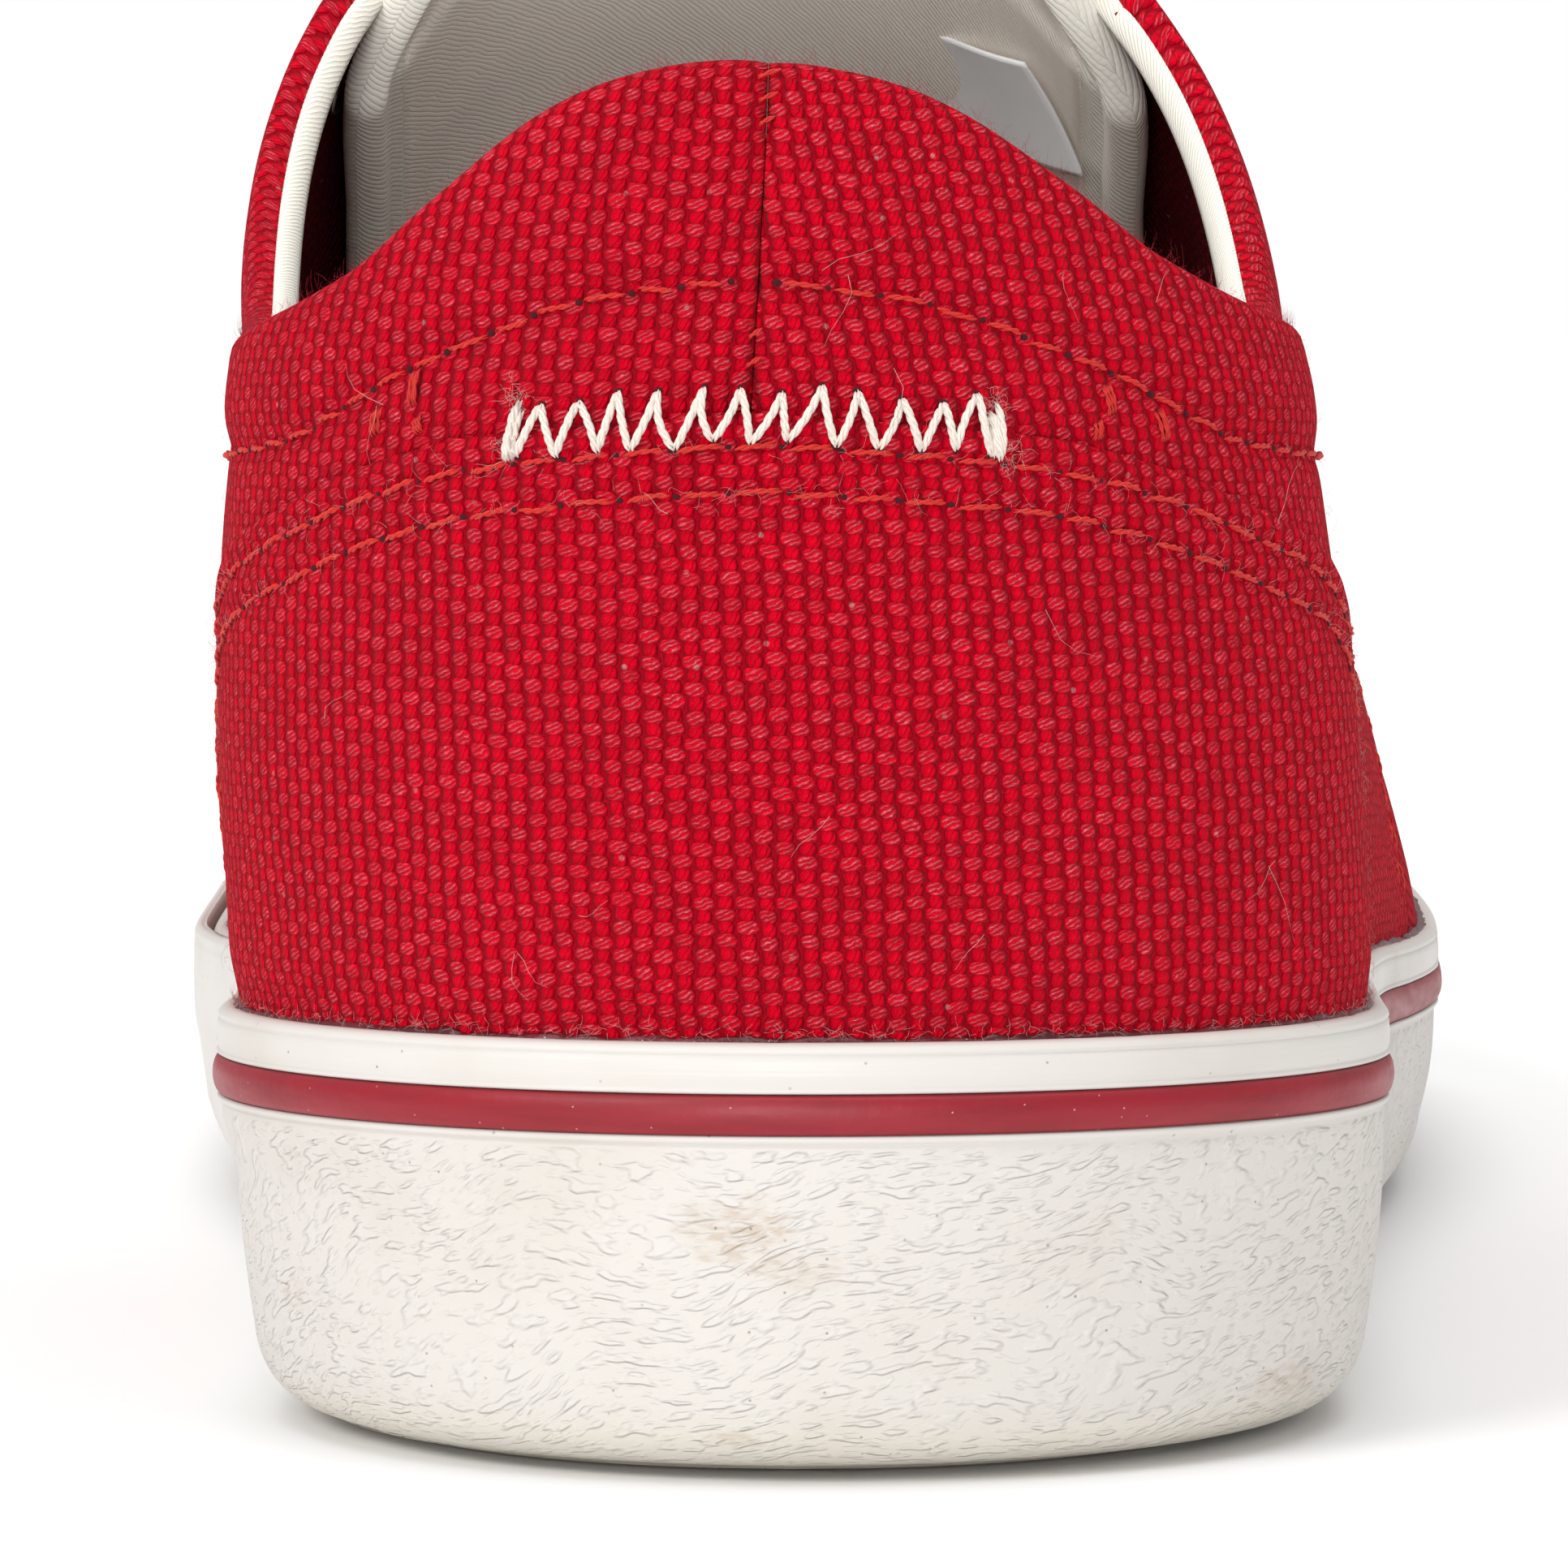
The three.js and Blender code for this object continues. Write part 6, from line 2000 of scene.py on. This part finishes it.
    def zigzag(self) -> None:
        """Adds the white zigzag across the centre of the heel panel's edge."""
        teeth, half = 12, 14.3
        steps = 2 * teeth + 1
        u = np.linspace(-half, half, steps) + 0.16 * self.rng.normal(0, 1, steps)
        top = self.map.at_height(u, 65.35 - 0.0042 * u**2)
        low = self.map.at_height(u, 62.0 - 0.0050 * u**2)
        up = np.arange(steps) % 2 == 1
        b = np.where(up, top, low) + 0.22 * self.rng.normal(0, 1, steps)
        u = u + np.where(up, 0.35, -0.2)
        points = np.stack([u, b], -1)
        lift = np.where(up, 0.12, self.heel.cover(points[:, 0], points[:, 1]))
        pairs = np.stack([lift[:-1], lift[1:]], -1) + 0.14
        self.strokes(self.white, points[:-1], points[1:], pairs, 0.27, 1.6, 0.3, 0.3, 0.2, 3)
        for sign, end in ((-1, points[0]), (1, points[-1])):
            for k in range(5):
                foot = end + np.array([sign * (0.15 + 0.12 * k), -0.1 + 0.12 * self.rng.normal()])
                head = foot + np.array([sign * -0.35 + 0.5 * (sign > 0), 2.9 + 0.3 * self.rng.normal()])
                cover = self.heel.cover(np.array([foot[0], head[0]]), np.array([foot[1], head[1]]))
                lifts = cover[None] + 0.1 + 0.05 * k
                self.strokes(self.white, foot[None], head[None], lifts, 0.24, 1.4, 0.2, 0.2, 0.1, 3)
        self.prick(points, lift, 0.26)

    def build(self) -> None:
        """Sews everything and makes the pieces."""

        def folded(u: Array, b: Array) -> Array:
            """Height of the heel panel's face at its stitch rows."""
            return self.heel.cover(u, b) - 0.08

        def flat(u: Array, b: Array) -> Array:
            """Height of the quarter's face at its stitch rows."""
            return side_slack(u) - 0.14

        for distance in (self.heel.first_row, self.heel.second_row):
            self.sew(self.red, self.heel.row(distance), folded, 3.3, 0.6, 0.19)
        for quarter in self.quarters:
            self.sew(self.red, quarter.collar_line(), flat, 3.2, 0.6, 0.18)
            for inside in quarter.throat_rows:
                self.sew(self.trim, quarter.throat_line(inside), flat, 3.0, 0.6, 0.17)
            for behind in quarter.front_rows:
                self.sew(self.trim, quarter.front_line(behind), flat, 3.0, 0.6, 0.13)
        for u, z, length, lean in self.tacks:
            self.tack(u, z, length, lean)
        seam = self.quarters[0].seam
        for z, width in self.seam_stitches:
            centre = float(seam(z))
            b = float(self.map.at_height(np.array([centre]), np.array([z]))[0])
            ends = np.array([[centre - width / 2, b - 0.25]]), np.array([[centre + width / 2, b + 0.3]])
            self.strokes(self.red, *ends, np.full((1, 2), -0.1), 0.15, 0.8, 0.12, 0.3)
        self.zigzag()
        for made, name, look in (
            (self.red, "heel_stitching", Look.RED_THREAD), (self.trim, "eyestay_stitching", Look.RED_THREAD),
            (self.white, "heel_zigzag", Look.WHITE_THREAD), (self.holes, "needle_hole_shade", Look.HOLE_SHADE),
        ):
            self.piece(made, name, look, "stitching")


@dataclass
class Fluff(Part):
    """Loose cotton: short fibres on the canvas, along the topline and round the stitches."""

    heel: HeelPanel
    # length round, height over the floor, length and number of the long loose ends
    ends: tuple[tuple[float, float, float, int], ...] = (
        (4.6, 72.0, 4.5, 2), (-16.0, 31.5, 3.0, 2), (-12.0, 34.0, 2.2, 1), (20.0, 72.5, 3.0, 1),
        (16.0, 52.0, 4.0, 1), (33.0, 36.0, 4.0, 2), (-25.0, 64.0, 3.5, 2), (9.0, 66.5, 5.0, 1),
        (2.0, 40.0, 3.0, 1), (-30.0, 45.0, 3.4, 1), (36.0, 57.0, 4.5, 1), (12.0, 33.0, 2.6, 1),
        (-5.0, 58.0, 2.0, 1), (26.0, 70.0, 3.0, 1),
    )
    rng: np.random.Generator = field(default_factory=lambda: np.random.default_rng(5))

    def hairs(self, made: Shape, u: Array, b: Array, lift: Array, length: Array, stand: float, radius: float,
              upward: float = 0.0) -> None:
        """Adds one curved fibre at each cloth point.

        Args:
            made: Shape to add to.
            u: Lengths round the shoe.
            b: Lengths up from the joint line.
            lift: Heights of the roots.
            length: Lengths of the fibres.
            stand: Share by which they stand off the cloth.
            radius: Half the fibre's thickness.
            upward: Share by which they lean up.
        """
        root = self.map.at(u, b, lift)
        normal = self.map.normal(u, b)
        up = unit(np.cross(normal, np.cross(np.array([0.0, 0.0, 1.0]), normal)))
        side = np.cross(normal, up)
        turn = self.rng.uniform(0, 2 * np.pi, len(u))[:, None]
        flat = np.cos(turn) * side + np.sin(turn) * up
        curl = np.cross(normal, flat)
        t = np.linspace(0, 1, 5)[None, :, None]
        bend = self.rng.normal(0, 0.45, (len(u), 1, 1))
        wave = self.rng.uniform(0, 6.3, (len(u), 1, 1))
        rise = (stand * self.rng.uniform(0.2, 1.0, len(u)))[:, None, None]
        size = length[:, None, None]
        path = root[:, None] + size * (
            t * flat[:, None]
            + bend * t * t * curl[:, None]
            + 0.09 * np.sin(5 * t + wave) * curl[:, None]
            + rise * np.sin(2.2 * t) * normal[:, None]
            + upward * t * up[:, None]
        )
        taper = np.linspace(1.0, 0.35, 5)[None, :]
        made.tubes(path, radius * taper, 3)

    def build(self) -> None:
        """Makes the fibres."""
        rng, cloth = self.rng, self.map
        fine, pale = Shape(), Shape()
        u = rng.normal(0, 34, 1700)
        u = u[np.abs(u) < 118]
        top = cloth.edge(u)
        b = rng.uniform(0.02, 0.985, len(u)) * top
        self.hairs(fine, u, b, self.heel.cover(u, b) + 0.1, rng.uniform(0.4, 1.3, len(u)), 0.5, 0.010)
        u = rng.uniform(-112, 112, 1900)
        b = cloth.edge(u) - rng.uniform(-0.05, 0.5, len(u))
        sunk = -0.5 - 0.9 * rng.uniform(0, 1, len(u))
        self.hairs(fine, u, b, sunk, rng.uniform(0.25, 0.8, len(u)), 0.5, 0.010, 0.8)
        for distance in (self.heel.first_row, self.heel.second_row):
            line = self.heel.row(distance)
            pick = rng.integers(0, len(line), 260)
            u, b = line[pick, 0] + rng.normal(0, 0.3, 260), line[pick, 1] + rng.normal(0, 0.35, 260)
            self.hairs(pale, u, b, self.heel.cover(u, b) + 0.1, rng.uniform(0.4, 1.3, 260), 0.7, 0.012)
        u = rng.uniform(-64, 64, 520)
        b = rng.uniform(0.1, 0.9, len(u))
        self.hairs(pale, u, b, 0.35 + 0 * u, rng.uniform(0.3, 0.9, len(u)), 0.6, 0.014)
        for u, z, long, count in self.ends:
            uu = np.full(count, u) + rng.normal(0, 0.6, count)
            bb = cloth.at_height(uu, np.full(count, z))
            self.hairs(pale, uu, bb, self.heel.cover(uu, bb) + 0.2, np.full(count, long), 0.3, 0.022)
        tufts = Shape()
        for u, z in ((-14.6, 64.6), (-14.9, 61.6), (14.6, 64.2), (14.9, 61.2)):
            uu = u + rng.normal(0, 0.4, 46)
            bb = cloth.at_height(uu, z + rng.normal(0, 0.5, 46))
            self.hairs(tufts, uu, bb, self.heel.cover(uu, bb) + 0.3, rng.uniform(0.3, 0.8, 46), 0.7, 0.010)
        self.piece(fine, "canvas_fibres", Look.RED_FIBRE, "canvas")
        self.piece(pale, "loose_threads", Look.PALE_FIBRE, "canvas")
        self.piece(tufts, "zigzag_fuzz", Look.WHITE_THREAD, "stitching")


# ---------------------------------------------------------------- studio


@dataclass(frozen=True)
class Studio:
    """Camera behind the heel, soft light and a pale floor."""

    place: Placement
    distance: float = 520.0
    turn_deg: float = 1.2
    height: float = 76.8
    aim_station: float = -2.0
    lens: float = 202.7
    tilt_deg: float = 3.82
    room_light: float = 0.45

    def camera(self) -> None:
        """Makes the camera, level with the collar and tilted a little down."""
        turn = math.radians(self.turn_deg)
        x, back = self.distance * math.sin(turn), self.distance * math.cos(turn)
        spot = np.array([x, self.aim_station - back, self.height])
        data = bpy.data.cameras.new("camera")
        data.lens, data.sensor_width = self.lens, 36.0
        data.clip_start, data.clip_end = 0.01, 50.0
        made = bpy.data.objects.new("camera", data)
        made.location = Vector(self.place.metres(spot))
        made.rotation_euler = (math.radians(90 - self.tilt_deg), 0.0, turn)
        bpy.context.scene.collection.objects.link(made)
        bpy.context.scene.camera = made

    def light(self, name: str, toward: Sequence[float], spread_deg: float, strength: float) -> None:
        """Adds a broad even light.

        Args:
            name: Name of the light.
            toward: Direction from the shoe to the light.
            spread_deg: How wide it looks from the shoe.
            strength: Its irradiance.
        """
        data = bpy.data.lights.new(name, "SUN")
        data.angle, data.energy = math.radians(spread_deg), strength
        made = bpy.data.objects.new(name, data)
        made.rotation_euler = Vector(toward).to_track_quat("Z", "Y").to_euler()
        bpy.context.scene.collection.objects.link(made)

    def surround(self) -> None:
        """Makes the white room: white where it is looked at, dimmer as a light."""
        world = bpy.data.worlds.new("studio")
        world.use_nodes = True
        tree = world.node_tree
        background = tree.nodes["Background"]
        background.inputs["Color"].default_value = (1.0, 1.0, 1.0, 1.0)
        seen = tree.nodes.new("ShaderNodeLightPath")
        level = tree.nodes.new("ShaderNodeMapRange")
        level.inputs["To Min"].default_value = self.room_light
        level.inputs["To Max"].default_value = 1.0
        tree.links.new(seen.outputs["Is Camera Ray"], level.inputs["Value"])
        tree.links.new(level.outputs["Result"], background.inputs["Strength"])
        bpy.context.scene.world = world

    def floor(self) -> None:
        """Makes the pale floor."""
        mesh = bpy.data.meshes.new("floor")
        turn = np.arange(64) * 2 * np.pi / 64
        mesh.from_pydata([(4 * math.cos(a), 4 * math.sin(a), -0.0002) for a in turn], [], [list(range(64))])
        paint = bpy.data.materials.new("pale floor")
        paint.use_nodes = True
        shader = paint.node_tree.nodes["Principled BSDF"]
        shader.inputs["Base Color"].default_value = (0.93, 0.93, 0.93, 1.0)
        shader.inputs["Roughness"].default_value = 0.9
        shader.inputs["Specular IOR Level"].default_value = 0.0
        mesh.materials.append(paint)
        floor = bpy.data.objects.new("floor", mesh)
        bpy.context.scene.collection.objects.link(floor)

    def build(self) -> None:
        """Sets the studio up."""
        self.camera()
        self.floor()
        self.surround()
        self.light("key", (-0.7, -0.75, 0.8), 22.0, 0.98)
        self.light("front", (-0.05, -1.0, 0.16), 24.0, 1.02)
        self.light("top", (0.0, 0.05, 1.0), 60.0, 1.7)
        bpy.context.scene.view_settings.view_transform = "Standard"


def main() -> None:
    """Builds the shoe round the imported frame."""
    logging.basicConfig(level=logging.INFO, format="%(name)s %(message)s")
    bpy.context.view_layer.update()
    last = Last()
    place = Placement.of(last)
    Studio(place).build()
    effects = Effects()
    materials = {look: look.value.material(effects) for look in Look}
    shoe = Shoe(last, Unrolled(last), place, materials)
    sole = Sole(shoe)
    for make in (sole.sidewall, sole.stripe, sole.bumper, sole.tread, sole.footbed, sole.glue):
        make()
    heel = HeelPanel(shoe)
    quarters = tuple(Quarter(shoe, heel, side) for side in Side)
    pieces = [quarter.build() for quarter in quarters]
    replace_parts(pieces[0], "upper")
    heel.build()
    for quarter in quarters:
        quarter.edging()
    Vamp(shoe).build()
    InnerCloth(shoe).build()
    tongue = Tongue(shoe)
    for make in (tongue.pad, tongue.lining, tongue.tag):
        make()
    lacing = Lacing(shoe)
    for side in Side:
        for row in range(lacing.rows):
            lacing.eyelet(side, row)
    lacing.lace()
    Sewing(shoe, heel, quarters).build()
    Fluff(shoe, heel).build()


if __name__ == "__main__":
    main()
